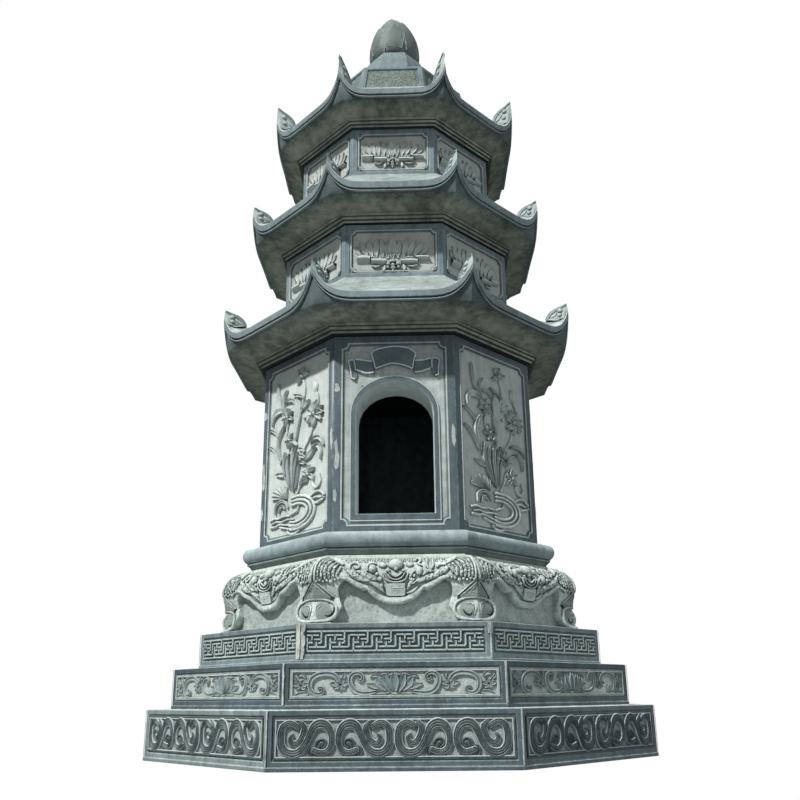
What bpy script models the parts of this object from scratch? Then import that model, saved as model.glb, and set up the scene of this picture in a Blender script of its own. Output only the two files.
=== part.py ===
"""Octagonal stone pagoda: three roofed storeys on a stepped, carved plinth.

Metres, +Z up. The front, with the arched doorway, faces -Y.
The origin is the centre of the plinth's underside, on the ground.
"""
import math

import bmesh
import bpy
from mathutils import Matrix

# Octagon. A radius below reaches a corner; an apothem reaches the middle of a face.
SIDES = 8
FACE_NAMES = ("front", "front_right", "right", "back_right", "back", "back_left", "left", "front_left")
FACE_STEP = 2 * math.pi / SIDES
HALF_STEP = FACE_STEP / 2
TO_FACE = math.cos(HALF_STEP)
TO_SIDE = math.tan(HALF_STEP)

# Joints between stones
GAP = 0.0003
WELD = 0.00001

# Stepped plinth: name, corner radius, underside, top, inner apothem
PLINTH_COURSES = (
    ("lower_plinth", 1.445, 0.0, 0.253, 0.96),
    ("middle_plinth", 1.319, 0.253, 0.459, 0.86),
    ("upper_plinth", 1.185, 0.459, 0.646, 0.72),
)
PANEL_FRAME = 0.032
PANEL_DEPTH = 0.008
PANEL_SLOPE = 0.004
FOOT_LIP = 0.006
FOOT_LIP_HEIGHT = 0.018

# Altar base: corner profile from the top ledge down to the scroll feet, as radius and height
ALTAR_PROFILE = (
    (0.925, 1.010),
    (0.932, 0.992),
    (0.975, 0.978),
    (1.018, 0.957),
    (1.050, 0.925),
    (1.064, 0.885),
    (1.058, 0.830),
    (1.041, 0.780),
    (1.054, 0.750),
    (1.064, 0.715),
    (1.061, 0.6463),
)
ALTAR_WALL_APOTHEM = 0.938
# Lower edge of an apron, as distance from its middle and height: a belly, a cusp and a lobe
APRON_EDGE = (
    (0.000, 0.748),
    (0.049, 0.754),
    (0.084, 0.769),
    (0.112, 0.790),
    (0.131, 0.819),
    (0.162, 0.813),
    (0.194, 0.836),
    (0.222, 0.859),
    (0.250, 0.870),
)
# Inner edge of a leg, from its knee round the scroll foot
LEG_EDGE = (
    (0.274, 0.850),
    (0.284, 0.823),
    (0.281, 0.790),
    (0.264, 0.737),
    (0.284, 0.700),
    (0.327, 0.661),
    (0.348, 0.630),
)

# Sill moulding: corner profile from its top down, as radius and height
SILL_PROFILE = (
    (0.885, 1.137),
    (0.925, 1.131),
    (0.953, 1.115),
    (0.970, 1.088),
    (0.962, 1.064),
    (0.940, 1.052),
    (0.940, 1.042),
    (0.922, 1.036),
    (0.915, 1.0103),
)

# Chamber walls
WALL_RADIUS = 0.875
WALL_THICKNESS = 0.240
WALL_FOOT = 1.1373
WALL_TOP = 2.2580
WALL_PANEL_HALF = 0.285
WALL_PANEL_LOW = 1.178
WALL_PANEL_HIGH = 2.212
WALL_PANEL_DEPTH = 0.008
WALL_PANEL_NOTCH = 0.034
NOTCH_SAMPLES = 3

# Arched doorway and the plain band round it
DOOR_HALF = 0.213
DOOR_SILL = 1.237
DOOR_SPRING = 1.800
DOOR_RISE = 0.187
BAND_WIDTH = 0.031
BAND_SILL = 0.040
BAND_RISE = 0.220
ARCH_SAMPLES = 12
CUTTER_REACH = 0.050

# Roofs. Heights are above the ground at the middle of a face.
ROOFS = (
    {"name": "lower", "cornice": 0.937, "under": 2.320, "eave": 1.057, "lip": 2.357, "band": 2.415,
     "lift": 0.161, "tip": 0.095, "top": 2.6837, "seat": 0.765},
    {"name": "middle", "cornice": 0.803, "under": 3.098, "eave": 0.919, "lip": 3.130, "band": 3.193,
     "lift": 0.143, "tip": 0.108, "top": 3.4447, "seat": 0.668},
    {"name": "upper", "cornice": 0.714, "under": 3.838, "eave": 0.796, "lip": 3.886, "band": 3.945,
     "lift": 0.147, "tip": 0.162, "top": 4.1647, "seat": 0.585},
)
FLARE_START = 0.35
FLARE_POWER = 3.7
FLARE_COLUMNS = (-1.0, -0.95, -0.88, -0.79, -0.68, -0.5, 0.0, 0.5, 0.68, 0.79, 0.88, 0.95)
EAVE_SPREAD = 0.005
LIP_HEIGHT = 0.012
LIP_WIDTH = 0.012
LIP_INSET = 0.004
LIP_SHARE = 0.96
CORNICE_CLEAR = 0.003
# Hollow face between the level soffit and the lifted lip: distance in from the eave, drop
# below the lip and share of the corner lift
HOLLOW_ROWS = ((0.026, 0.004, 0.0), (0.022, 0.002, 0.30), (0.018, 0.001, 0.65))
SEAT_COVER = 0.008
SLOPE_ROWS = 4
SLOPE_SAG = 1.12
SLOPE_FLATTEN = 4.0

# Corner horns: outline as parts of the length inwards from the corner and of the tip's height
HORN_OUTLINE = (
    (0.02, -0.25),
    (0.005, 0.0),
    (0.01, 0.62),
    (0.04, 1.0),
    (0.14, 0.98),
    (0.33, 0.80),
    (0.62, 0.70),
    (0.84, 0.45),
    (1.00, 0.05),
    (0.90, -0.45),
)
HORN_LENGTH = 0.140
HORN_THICKNESS = 0.048
HORN_TIP_THICKNESS = 0.20

# Cornice slabs: steps below each roof, as part of the radius and depth under the roof
CORNICE_STEPS = (
    (1.000, 0.0003),
    (1.000, 0.018),
    (0.985, 0.020),
    (0.985, 0.036),
    (0.965, 0.039),
    (0.965, 0.052),
    (0.925, 0.056),
)

# Upper storeys and top
DRUMS = (
    {"name": "middle_drum", "radius": 0.765, "low": 2.684, "high": 3.0360},
    {"name": "upper_drum", "radius": 0.668, "low": 3.445, "high": 3.7820},
)
DRUM_FRAME = 0.042
DRUM_DEPTH = 0.010
CAP = {"foot": 0.585, "top": 0.475, "low": 4.165, "high": 4.400, "frame": 0.032, "depth": 0.008}
NECK_PROFILE = (
    (0.178, 4.785),
    (0.222, 4.730),
    (0.262, 4.610),
    (0.300, 4.500),
    (0.320, 4.4003),
)

# Lotus bud: outline as radius and height, from its seat to the tip
BUD_OUTLINE = (
    (0.120, 4.7853),
    (0.152, 4.792),
    (0.176, 4.830),
    (0.184, 4.885),
    (0.180, 4.945),
    (0.166, 5.010),
    (0.140, 5.075),
    (0.105, 5.135),
    (0.068, 5.185),
    (0.030, 5.225),
    (0.006, 5.245),
)
BUD_COLUMNS = 48
BUD_PETALS = 8
BUD_FURROW = 0.055

# Stone finishes: colour and roughness
STONES = {
    "blue_stone": ((0.30, 0.34, 0.35, 1.0), 0.62),
    "green_stone": ((0.40, 0.45, 0.42, 1.0), 0.74),
    "dark_stone": ((0.17, 0.20, 0.20, 1.0), 0.70),
}


def clear_scene():
    for item in list(bpy.data.objects):
        bpy.data.objects.remove(item, do_unlink=True)


def new_collection(name):
    group = bpy.data.collections.new(name)
    bpy.context.scene.collection.children.link(group)
    return group


def make_materials():
    materials = {}
    for name, (colour, roughness) in STONES.items():
        material = bpy.data.materials.new(name)
        material.use_nodes = True
        shader = material.node_tree.nodes["Principled BSDF"]
        shader.inputs["Base Color"].default_value = colour
        shader.inputs["Roughness"].default_value = roughness
        shader.inputs["Metallic"].default_value = 0.0
        materials[name] = material
    return materials


def place(mesh, name, group, material, turn=0.0):
    """Put a mesh in the model as a named stone, turned about the axis."""
    item = bpy.data.objects.new(name, mesh)
    item.rotation_euler.z = turn
    own = material.copy()
    own.name = name + "_stone"
    if not mesh.materials:
        mesh.materials.append(own)
    item.material_slots[0].link = "OBJECT"
    item.material_slots[0].material = own
    group.objects.link(item)
    return item


def make_cutter(mesh, name, group, turn=0.0):
    cutter = bpy.data.objects.new(name, mesh)
    cutter.rotation_euler.z = turn
    cutter.hide_render = True
    cutter.display_type = "WIRE"
    group.objects.link(cutter)
    return cutter


def add_boolean(item, other, operation):
    modifier = item.modifiers.new(operation.title(), "BOOLEAN")
    modifier.operation = operation
    modifier.object = other
    modifier.solver = "EXACT"


def mesh_from(bm, name):
    bmesh.ops.recalc_face_normals(bm, faces=bm.faces)
    mesh = bpy.data.meshes.new(name)
    bm.to_mesh(mesh)
    bm.free()
    return mesh


def finished_mesh(item):
    """The mesh that an object's modifiers leave."""
    graph = bpy.context.evaluated_depsgraph_get()
    return bpy.data.meshes.new_from_object(item.evaluated_get(graph))


def outline_solid(name, outlines, half_depth):
    """A flat outline thickened both ways along local Z. Outlines after the first are holes."""
    curve = bpy.data.curves.new(name, "CURVE")
    curve.dimensions = "2D"
    curve.fill_mode = "BOTH"
    curve.extrude = half_depth
    for points in outlines:
        spline = curve.splines.new("POLY")
        spline.points.add(len(points) - 1)
        for point, (across, up) in zip(spline.points, points):
            point.co = (across, up, 0.0, 1.0)
        spline.use_cyclic_u = True
    guide = bpy.data.objects.new(name, curve)
    bpy.context.scene.collection.objects.link(guide)
    mesh = finished_mesh(guide)
    bpy.data.objects.remove(guide, do_unlink=True)
    bpy.data.curves.remove(curve)
    bm = bmesh.new()
    bm.from_mesh(mesh)
    bpy.data.meshes.remove(mesh)
    bmesh.ops.remove_doubles(bm, verts=bm.verts, dist=WELD)
    return bm


# Local X of an outline runs outwards from the axis and its depth runs along the face
SECTION_TO_FACE = Matrix(((0, 0, -1, 0), (-1, 0, 0, 0), (0, 1, 0, 0), (0, 0, 0, 1)))
# Local X of an outline runs along the face and its depth runs through the wall
ELEVATION_TO_FACE = Matrix(((1, 0, 0, 0), (0, 0, -1, 0), (0, 1, 0, 0), (0, 0, 0, 1)))


def section_block(name, section, reach):
    """One of eight stones: a section, as apothem and height, run along a face and mitred."""
    bm = outline_solid(name, [section], reach)
    bm.transform(SECTION_TO_FACE)
    for side in (1, -1):
        across = (side * math.cos(HALF_STEP), math.sin(HALF_STEP), 0.0)
        middle = tuple(-value * GAP / 2 for value in across)
        geometry = bm.verts[:] + bm.edges[:] + bm.faces[:]
        cut = bmesh.ops.bisect_plane(bm, geom=geometry, plane_co=middle, plane_no=across, clear_outer=True)
        rim = [item for item in cut["geom_cut"] if isinstance(item, bmesh.types.BMEdge)]
        bmesh.ops.edgenet_fill(bm, edges=rim)
    bmesh.ops.dissolve_limit(bm, angle_limit=0.001, verts=bm.verts, edges=bm.edges)
    bmesh.ops.recalc_face_normals(bm, faces=bm.faces)
    return bm


def sink_panels(bm, faces, frame, depth):
    """Leave a flat frame round each face and sink what is inside it."""
    bmesh.ops.inset_individual(bm, faces=faces, thickness=frame, depth=0.0)
    bmesh.ops.inset_individual(bm, faces=faces, thickness=PANEL_SLOPE, depth=-depth)


def make_plinth(group, stone):
    for name, radius, low, high, inner in PLINTH_COURSES:
        outer = radius * TO_FACE
        foot = low + (GAP if low else 0.0)
        section = [(inner, foot), (outer, foot), (outer, foot + FOOT_LIP_HEIGHT)]
        section += [(outer - FOOT_LIP, foot + FOOT_LIP_HEIGHT), (outer - FOOT_LIP, high), (inner, high)]
        bm = section_block(name, section, radius)
        bm.faces.ensure_lookup_table()
        front = [face for face in bm.faces if face.normal.y < -0.99]
        panel = max(front, key=lambda face: face.calc_area())
        sink_panels(bm, [panel], PANEL_FRAME, PANEL_DEPTH)
        mesh = mesh_from(bm, name)
        for index, side in enumerate(FACE_NAMES):
            place(mesh, name + "_" + side, group, stone, index * FACE_STEP)


def turned(name, profile, group, stone):
    """An octagonal stone from a corner profile that runs from its top down its outer side."""
    mesh = bpy.data.meshes.new(name)
    bm = bmesh.new()
    points = [(0.0, profile[0][1])] + list(profile) + [(0.0, profile[-1][1])]
    verts = [bm.verts.new((radius, 0.0, height)) for radius, height in points]
    for first, second in zip(verts, verts[1:]):
        bm.edges.new((first, second))
    bm.to_mesh(mesh)
    bm.free()
    item = place(mesh, name, group, stone, HALF_STEP)
    screw = item.modifiers.new("Turn", "SCREW")
    screw.steps = SIDES
    screw.render_steps = SIDES
    screw.use_merge_vertices = True
    screw.merge_threshold = 0.0001
    screw.use_smooth_shade = False
    return item


def apron_outline():
    """The space under one apron, seen from the front: belly curve above, legs each side."""
    right = list(APRON_EDGE) + list(LEG_EDGE)
    left = [(-across, up) for across, up in reversed(right[1:])]
    return left + right


def make_altar_base(group, cutters, stone):
    base = turned("altar_base", ALTAR_PROFILE, group, stone)
    outer = ALTAR_PROFILE[-1][0] + CUTTER_REACH
    half_depth = (outer - ALTAR_WALL_APOTHEM) / 2
    bm = outline_solid("apron_space", [apron_outline()], half_depth)
    bm.transform(Matrix.Translation((0.0, -(ALTAR_WALL_APOTHEM + half_depth), 0.0)) @ ELEVATION_TO_FACE)
    mesh = mesh_from(bm, "apron_space")
    for index, side in enumerate(FACE_NAMES):
        cutter = make_cutter(mesh, "apron_space_" + side, cutters, index * FACE_STEP)
        add_boolean(base, cutter, "DIFFERENCE")


def arch_outline(half, low, spring, rise):
    points = [(-half, low), (half, low)]
    for step in range(ARCH_SAMPLES + 1):
        angle = math.pi * step / ARCH_SAMPLES
        points.append((half * math.cos(angle), spring + rise * math.sin(angle)))
    return points


def notched_outline(half, low, high, notch):
    """A rectangle whose corners are cut in by quarter circles."""
    corners = ((half, low, 1), (half, high, 2), (-half, high, 3), (-half, low, 4))
    points = []
    for across, up, quarter in corners:
        start = math.pi / 2 * (quarter + 1)
        for step in range(NOTCH_SAMPLES + 1):
            angle = start - math.pi / 2 * step / NOTCH_SAMPLES
            points.append((across + notch * math.cos(angle), up + notch * math.sin(angle)))
    return points


def wall_cutter(name, outlines, near, far, cutters):
    """A cutter through the front wall between two distances from the axis."""
    half_depth = (far - near) / 2
    bm = outline_solid(name, outlines, half_depth)
    bm.transform(Matrix.Translation((0.0, -(near + half_depth), 0.0)) @ ELEVATION_TO_FACE)
    return make_cutter(mesh_from(bm, name), name, cutters)


def make_walls(group, cutters, stone):
    outer = WALL_RADIUS * TO_FACE
    inner = outer - WALL_THICKNESS
    section = [(inner, WALL_FOOT), (outer, WALL_FOOT), (outer, WALL_TOP), (inner, WALL_TOP)]
    blank = mesh_from(section_block("wall", section, WALL_RADIUS), "wall")
    panel = notched_outline(WALL_PANEL_HALF, WALL_PANEL_LOW, WALL_PANEL_HIGH, WALL_PANEL_NOTCH)
    band_low = DOOR_SILL - BAND_SILL
    band = arch_outline(DOOR_HALF + BAND_WIDTH, band_low, DOOR_SPRING, BAND_RISE)
    door = arch_outline(DOOR_HALF, DOOR_SILL, DOOR_SPRING, DOOR_RISE)
    sunk = outer - WALL_PANEL_DEPTH
    clear = outer + CUTTER_REACH
    door_panel_cutter = wall_cutter("door_panel_space", [panel, band], sunk, clear, cutters)
    panel_cutter = wall_cutter("panel_space", [panel], sunk, clear, cutters)
    door_cutter = wall_cutter("doorway_space", [door], inner - CUTTER_REACH, clear, cutters)

    front = place(blank, "wall_" + FACE_NAMES[0], group, stone)
    add_boolean(front, door_panel_cutter, "DIFFERENCE")
    add_boolean(front, door_cutter, "DIFFERENCE")

    template = make_cutter(blank.copy(), "wall_template", cutters)
    add_boolean(template, panel_cutter, "DIFFERENCE")
    plain = finished_mesh(template)
    for index, side in enumerate(FACE_NAMES[1:], start=1):
        place(plain, "wall_" + side, group, stone, index * FACE_STEP)


def eave_lift(part, roof):
    """How far the eave rises at a place along a face, from 0 in its middle to 1 at a corner."""
    past = max(0.0, abs(part) - FLARE_START) / (1.0 - FLARE_START)
    return roof["lift"] * past ** FLARE_POWER


def roof_rows(roof):
    """Rings of the roof from its underside out to the eave and up to its seat.

    Each ring is an apothem, a height and the share of the corner lift that it takes.
    """
    inner = roof["cornice"] * TO_FACE + CORNICE_CLEAR
    eave = roof["eave"]
    under = roof["under"]
    lip = roof["lip"]
    band = roof["band"]
    rows = [(inner, under, 0.0)]
    for inwards, drop, share in HOLLOW_ROWS:
        rows.append((eave - inwards, lip - drop, share))
    rows.append((eave - LIP_INSET - LIP_WIDTH, lip, LIP_SHARE))
    rows.append((eave - LIP_INSET, lip, 1.0))
    rows.append((eave - LIP_INSET, lip + LIP_HEIGHT, 1.0))
    rows.append((eave, lip + LIP_HEIGHT, 1.0))
    rows.append((eave, band, 1.0))
    seat = roof["seat"] * TO_FACE + SEAT_COVER
    for step in range(1, SLOPE_ROWS + 1):
        part = step / SLOPE_ROWS
        height = band + (roof["top"] - band) * part ** SLOPE_SAG
        rows.append((eave + (seat - eave) * part, height, (1.0 - part) ** SLOPE_FLATTEN))
    return rows


def bent_ring(columns, rows, position):
    """A closed ring from a flat grid, each grid point moved to its place, with flat ends."""
    bm = bmesh.new()
    bmesh.ops.create_grid(bm, x_segments=columns, y_segments=rows - 1, size=1.0)
    for vert in bm.verts:
        column = round((vert.co.x + 1.0) / 2.0 * columns)
        row = round((vert.co.y + 1.0) / 2.0 * (rows - 1))
        vert.co = position(column % columns, row)
    bmesh.ops.remove_doubles(bm, verts=bm.verts, dist=WELD)
    rim = [edge for edge in bm.edges if edge.is_boundary]
    bmesh.ops.holes_fill(bm, edges=rim, sides=0)
    return bm


def roof_position(roof, rows, column, row):
    per_face = len(FLARE_COLUMNS)
    part = FLARE_COLUMNS[column % per_face]
    apothem, height, share = rows[row]
    apothem += EAVE_SPREAD * share * part * part
    across = part * apothem * TO_SIDE
    turn = FACE_STEP * (column // per_face)
    x = across * math.cos(turn) + apothem * math.sin(turn)
    y = across * math.sin(turn) - apothem * math.cos(turn)
    return (x, y, height + share * eave_lift(part, roof))


def make_horns(roof, cutters):
    """Eight leaf-shaped fins, one standing on each corner in its diagonal plane."""
    corner = (roof["eave"] + EAVE_SPREAD) / TO_FACE
    base = roof["lip"] + roof["lift"] + LIP_HEIGHT
    rise = roof["tip"]
    outline = [(corner - inwards * HORN_LENGTH, base + up * rise) for inwards, up in HORN_OUTLINE]
    bm = outline_solid("horn", [outline], HORN_THICKNESS / 2)
    bm.transform(SECTION_TO_FACE)
    for vert in bm.verts:
        height = min(1.0, max(0.0, (vert.co.z - base) / rise))
        vert.co.x *= 1.0 - (1.0 - HORN_TIP_THICKNESS) * height
    bm.transform(Matrix.Rotation(HALF_STEP, 4, "Z"))
    bmesh.ops.spin(bm, geom=bm.verts[:] + bm.edges[:] + bm.faces[:], cent=(0, 0, 0), axis=(0, 0, 1),
                   angle=FACE_STEP * (SIDES - 1), steps=SIDES - 1, use_duplicate=True)
    return make_cutter(mesh_from(bm, roof["name"] + "_horns"), roof["name"] + "_horns", cutters)


def make_roof(roof, group, cutters, stone):
    rows = roof_rows(roof)
    columns = len(FLARE_COLUMNS) * SIDES
    bm = bent_ring(columns, len(rows), lambda column, row: roof_position(roof, rows, column, row))
    item = place(mesh_from(bm, roof["name"] + "_roof"), roof["name"] + "_roof", group, stone)
    add_boolean(item, make_horns(roof, cutters), "UNION")


def make_cornice(roof, floor, group, stone):
    """The stepped slab between a storey's walls and its roof."""
    radius = roof["cornice"]
    profile = [(radius * part, roof["under"] - depth) for part, depth in CORNICE_STEPS]
    profile.append((profile[-1][0], floor + GAP))
    turned(roof["name"] + "_cornice", profile, group, stone)


def make_storey(name, foot_radius, top_radius, low, high, frame, depth, group, stone):
    """A solid octagonal stone whose eight faces carry sunk panels."""
    bm = bmesh.new()
    turn = Matrix.Translation((0, 0, (low + high) / 2)) @ Matrix.Rotation(HALF_STEP, 4, "Z")
    bmesh.ops.create_cone(bm, cap_ends=True, segments=SIDES, radius1=foot_radius, radius2=top_radius,
                          depth=high - low, matrix=turn)
    sides = [face for face in bm.faces if abs(face.normal.z) < 0.9]
    sink_panels(bm, sides, frame, depth)
    place(mesh_from(bm, name), name, group, stone)


def bud_position(column, row):
    """A bud whose petals swell between furrows, closing to a round tip."""
    radius, height = BUD_OUTLINE[row]
    angle = 2 * math.pi * column / BUD_COLUMNS
    furrow = 1.0 - abs(math.sin(BUD_PETALS * (angle - math.pi / 2) / 2))
    fullness = math.sin(math.pi * row / (len(BUD_OUTLINE) - 1))
    radius *= 1.0 - BUD_FURROW * fullness * furrow ** 2
    return (radius * math.cos(angle), radius * math.sin(angle), height)


def make_top(group, blue, green):
    make_storey("cap", CAP["foot"], CAP["top"], CAP["low"], CAP["high"], CAP["frame"], CAP["depth"],
                group, green)
    turned("neck", NECK_PROFILE, group, blue)
    bm = bent_ring(BUD_COLUMNS, len(BUD_OUTLINE), bud_position)
    place(mesh_from(bm, "lotus_bud"), "lotus_bud", group, green)


def build():
    clear_scene()
    materials = make_materials()
    blue = materials["blue_stone"]
    green = materials["green_stone"]
    dark = materials["dark_stone"]
    group = new_collection("stone_pagoda")
    cutters = new_collection("cutters")

    make_plinth(group, dark)
    make_altar_base(group, cutters, green)
    turned("sill_moulding", SILL_PROFILE, group, blue)
    make_walls(group, cutters, green)
    floors = [WALL_TOP] + [drum["high"] for drum in DRUMS]
    for roof, floor in zip(ROOFS, floors):
        make_cornice(roof, floor, group, dark)
        make_roof(roof, group, cutters, blue)
    for drum in DRUMS:
        radius = drum["radius"]
        make_storey(drum["name"], radius, radius, drum["low"], drum["high"], DRUM_FRAME, DRUM_DEPTH,
                    group, green)
    make_top(group, blue, green)


build()
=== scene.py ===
import math

import bmesh
import bpy
from mathutils import Matrix, Vector, noise


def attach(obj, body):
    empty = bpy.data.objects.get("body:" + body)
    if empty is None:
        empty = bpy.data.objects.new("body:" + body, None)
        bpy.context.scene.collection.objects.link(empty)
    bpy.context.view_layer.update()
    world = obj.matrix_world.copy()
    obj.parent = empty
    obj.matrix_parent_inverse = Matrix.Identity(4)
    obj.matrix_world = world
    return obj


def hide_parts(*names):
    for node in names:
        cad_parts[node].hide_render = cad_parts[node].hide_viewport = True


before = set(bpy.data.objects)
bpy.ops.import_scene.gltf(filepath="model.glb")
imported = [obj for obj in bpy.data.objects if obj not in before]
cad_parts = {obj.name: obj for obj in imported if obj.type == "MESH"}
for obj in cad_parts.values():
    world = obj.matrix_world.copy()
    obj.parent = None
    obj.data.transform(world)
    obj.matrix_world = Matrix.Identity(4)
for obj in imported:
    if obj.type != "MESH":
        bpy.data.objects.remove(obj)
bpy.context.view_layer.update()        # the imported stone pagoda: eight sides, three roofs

scene = bpy.context.scene
faceNames = ["front", "front_right", "right", "back_right", "back", "back_left", "left", "front_left"]
mm = 0.001
halfTurn = math.radians(22.5)
toFace = math.cos(halfTurn)      # corner radius to apothem
toSide = math.tan(halfTurn)      # apothem to half a side


# Small tools

def faceMatrix(index, apothem):
    # on a face u runs right, v up and w outwards
    upright = Matrix(((1, 0, 0, 0), (0, 0, -1, -apothem), (0, 1, 0, 0), (0, 0, 0, 1)))
    return Matrix.Rotation(2 * halfTurn * index, 4, "Z") @ upright


def makePiece(name, bm, finishes, replaced=(), smooth=40):
    bmesh.ops.recalc_face_normals(bm, faces=bm.faces)
    mesh = bpy.data.meshes.new(name)
    bm.to_mesh(mesh)
    bm.free()
    for finish in finishes:
        mesh.materials.append(stones[finish])
    if smooth:
        mesh.shade_smooth()
        mesh.set_sharp_from_angle(angle=math.radians(smooth))
    piece = bpy.data.objects.new(name, mesh)
    scene.collection.objects.link(piece)
    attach(piece, "root")
    if replaced:
        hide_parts(*replaced)
    return piece


def nodeCopy(name):
    # a merged copy of a CAD stone, with its flat faces whole again
    bm = bmesh.new()
    bm.from_mesh(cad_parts[name].data)
    bmesh.ops.remove_doubles(bm, verts=bm.verts, dist=0.00005)
    bmesh.ops.dissolve_limit(bm, angle_limit=math.radians(1), verts=bm.verts, edges=bm.edges)
    return bm


def closeEnds(bm):
    bmesh.ops.holes_fill(bm, edges=[edge for edge in bm.edges if edge.is_boundary], sides=0)


# Finishes

def newGroup(name, inputs, outputs):
    tree = bpy.data.node_groups.new(name, "ShaderNodeTree")
    for label, kind, value in inputs:
        socket = tree.interface.new_socket(label, in_out="INPUT", socket_type="NodeSocket" + kind)
        socket.default_value = value
    for label, kind in outputs:
        tree.interface.new_socket(label, in_out="OUTPUT", socket_type="NodeSocket" + kind)
    return tree, tree.nodes.new("NodeGroupInput").outputs, tree.nodes.new("NodeGroupOutput").inputs


def addNode(tree, kind, values=None, output=0, **settings):
    node = tree.nodes.new("ShaderNode" + kind)
    for key, value in settings.items():
        setattr(node, key, value)
    for socket, value in (values or {}).items():
        if isinstance(value, bpy.types.NodeSocket):
            tree.links.new(value, node.inputs[socket])
        else:
            node.inputs[socket].default_value = value
    return node.outputs[output]


def maths(tree, operation, first, second, third=0.0, clamp=False):
    values = {0: first, 1: second, 2: third}
    return addNode(tree, "Math", values, operation=operation, use_clamp=clamp)


def ramp(tree, value, low, high, start=0.0, end=1.0):
    return addNode(tree, "MapRange", {0: value, 1: low, 2: high, 3: start, 4: end})


def blendColour(tree, factor, first, second):
    return addNode(tree, "Mix", {0: factor, 6: first, 7: second}, output=2, data_type="RGBA")


def noiseNode(tree, place, scale, detail, roughness=0.5):
    return addNode(tree, "TexNoise", {"Vector": place, "Scale": scale, "Detail": detail,
                                      "Roughness": roughness})


def grainGroup():
    # stone grain: broad mottle, fine grain, pecked dimples and rain streaks
    inputs = [("Mottle", "Float", 0.5), ("Grain", "Float", 0.5), ("Pecks", "Float", 0.5),
              ("Peck Size", "Float", 150.0), ("Streaks", "Float", 0.2)]
    tree, given, made = newGroup("stoneGrain", inputs, [("Tone", "Float"), ("Height", "Float")])
    place = addNode(tree, "TexCoord", output=3)
    broad = noiseNode(tree, place, 3.5, 5.0, 0.6)
    patch = noiseNode(tree, place, 19.0, 3.0, 0.55)
    fine = noiseNode(tree, place, 120.0, 3.0, 0.7)
    tall = addNode(tree, "Mapping", {"Vector": place, "Scale": (1.0, 1.0, 0.07)})
    streak = noiseNode(tree, tall, 34.0, 3.0)
    dimple = addNode(tree, "TexVoronoi", {"Vector": place, "Scale": given["Peck Size"], "Randomness": 1.0})
    hollow = ramp(tree, dimple, 0.12, 0.55, 1.0, 0.0)

    def swing(value, middle, strength):
        # up and down from the middle
        return maths(tree, "MULTIPLY", maths(tree, "SUBTRACT", value, middle), given[strength])
    tone = swing(maths(tree, "ADD", broad, patch), 1.0, "Mottle")
    tone = maths(tree, "ADD", tone, swing(fine, 0.5, "Grain"))
    tone = maths(tree, "ADD", tone, swing(streak, 0.5, "Streaks"))
    pecks = swing(hollow, 0.4, "Pecks")
    tree.links.new(maths(tree, "MULTIPLY_ADD", pecks, -0.22, tone), made["Tone"])
    height = maths(tree, "MULTIPLY_ADD", fine, 0.35, maths(tree, "MULTIPLY", pecks, -1.0))
    tree.links.new(height, made["Height"])
    return tree


def wearAndShadeGroup():
    # chalk and painted highlight on edges and crests, dust on what faces up, grime and painted shade in the
    # hollows
    inputs = [("Stone", "Color", (0.5, 0.5, 0.5, 1)), ("Chalk And Painted Light", "Color", (0.6, 0.65, 0.64, 1)),
              ("Grime And Shade", "Color", (0.03, 0.035, 0.035, 1)), ("Tone", "Float", 0.0), ("Edges", "Float", 0.5),
              ("Crests", "Float", 0.5), ("Dust", "Float", 0.2), ("Soot And Shade", "Float", 0.4),
              ("Specks", "Float", 0.1), ("Roughness", "Float", 0.6)]
    tree, given, made = newGroup("stoneWearAndShade", inputs, [("Color", "Color"), ("Roughness", "Float")])
    place = addNode(tree, "TexCoord", output=3)
    flat = addNode(tree, "NewGeometry", output=1)
    # edges lightened where the bevelled normal turns away: worn chalk and painted highlight
    rounded = addNode(tree, "Bevel", {"Radius": 0.006}, samples=4)
    along = addNode(tree, "VectorMath", {0: flat, 1: rounded}, output=1, operation="DOT_PRODUCT")
    chips = noiseNode(tree, place, 55.0, 4.0, 0.7)
    edge = ramp(tree, along, 0.995, 0.90)
    edge = maths(tree, "MULTIPLY", edge, ramp(tree, chips, 0.36, 0.62))
    edge = maths(tree, "MULTIPLY", edge, given["Edges"])
    # crests of carvings lightened: chalk and painted highlight
    relief = addNode(tree, "Attribute", output=2, attribute_name="relief")
    crest = maths(tree, "MULTIPLY", ramp(tree, relief, 0.55, 1.0), ramp(tree, chips, 0.25, 0.6))
    crest = maths(tree, "MULTIPLY", crest, given["Crests"])
    facing = addNode(tree, "SeparateXYZ", {0: flat}, output=2)
    dust = maths(tree, "MULTIPLY", ramp(tree, facing, 0.25, 0.95), given["Dust"])
    scratch = noiseNode(tree, place, 95.0, 5.0, 0.75)
    specks = maths(tree, "MULTIPLY", ramp(tree, scratch, 0.57, 0.70), given["Specks"])
    worn = maths(tree, "ADD", maths(tree, "ADD", edge, crest), maths(tree, "ADD", dust, specks), clamp=True)
    # painted shade: darker where nearby stone hems the surface in, counted as grime too
    openness = addNode(tree, "AmbientOcclusion", {"Distance": 0.03}, output=1, samples=4)
    hollowShade = maths(tree, "MULTIPLY", ramp(tree, openness, 0.95, 0.35), given["Soot And Shade"])
    colour = blendColour(tree, worn, given["Stone"], given["Chalk And Painted Light"])
    colour = blendColour(tree, hollowShade, colour, given["Grime And Shade"])
    bright = maths(tree, "ADD", given["Tone"], 1.0)
    colour = addNode(tree, "VectorMath", {0: colour, 3: bright}, operation="SCALE")
    tree.links.new(colour, made["Color"])
    rough = maths(tree, "MULTIPLY_ADD", worn, 0.25, given["Roughness"])
    tree.links.new(maths(tree, "MULTIPLY_ADD", given["Tone"], 0.15, rough), made["Roughness"])
    return tree


stoneGrain = grainGroup()
stoneWearAndShade = wearAndShadeGroup()


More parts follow.
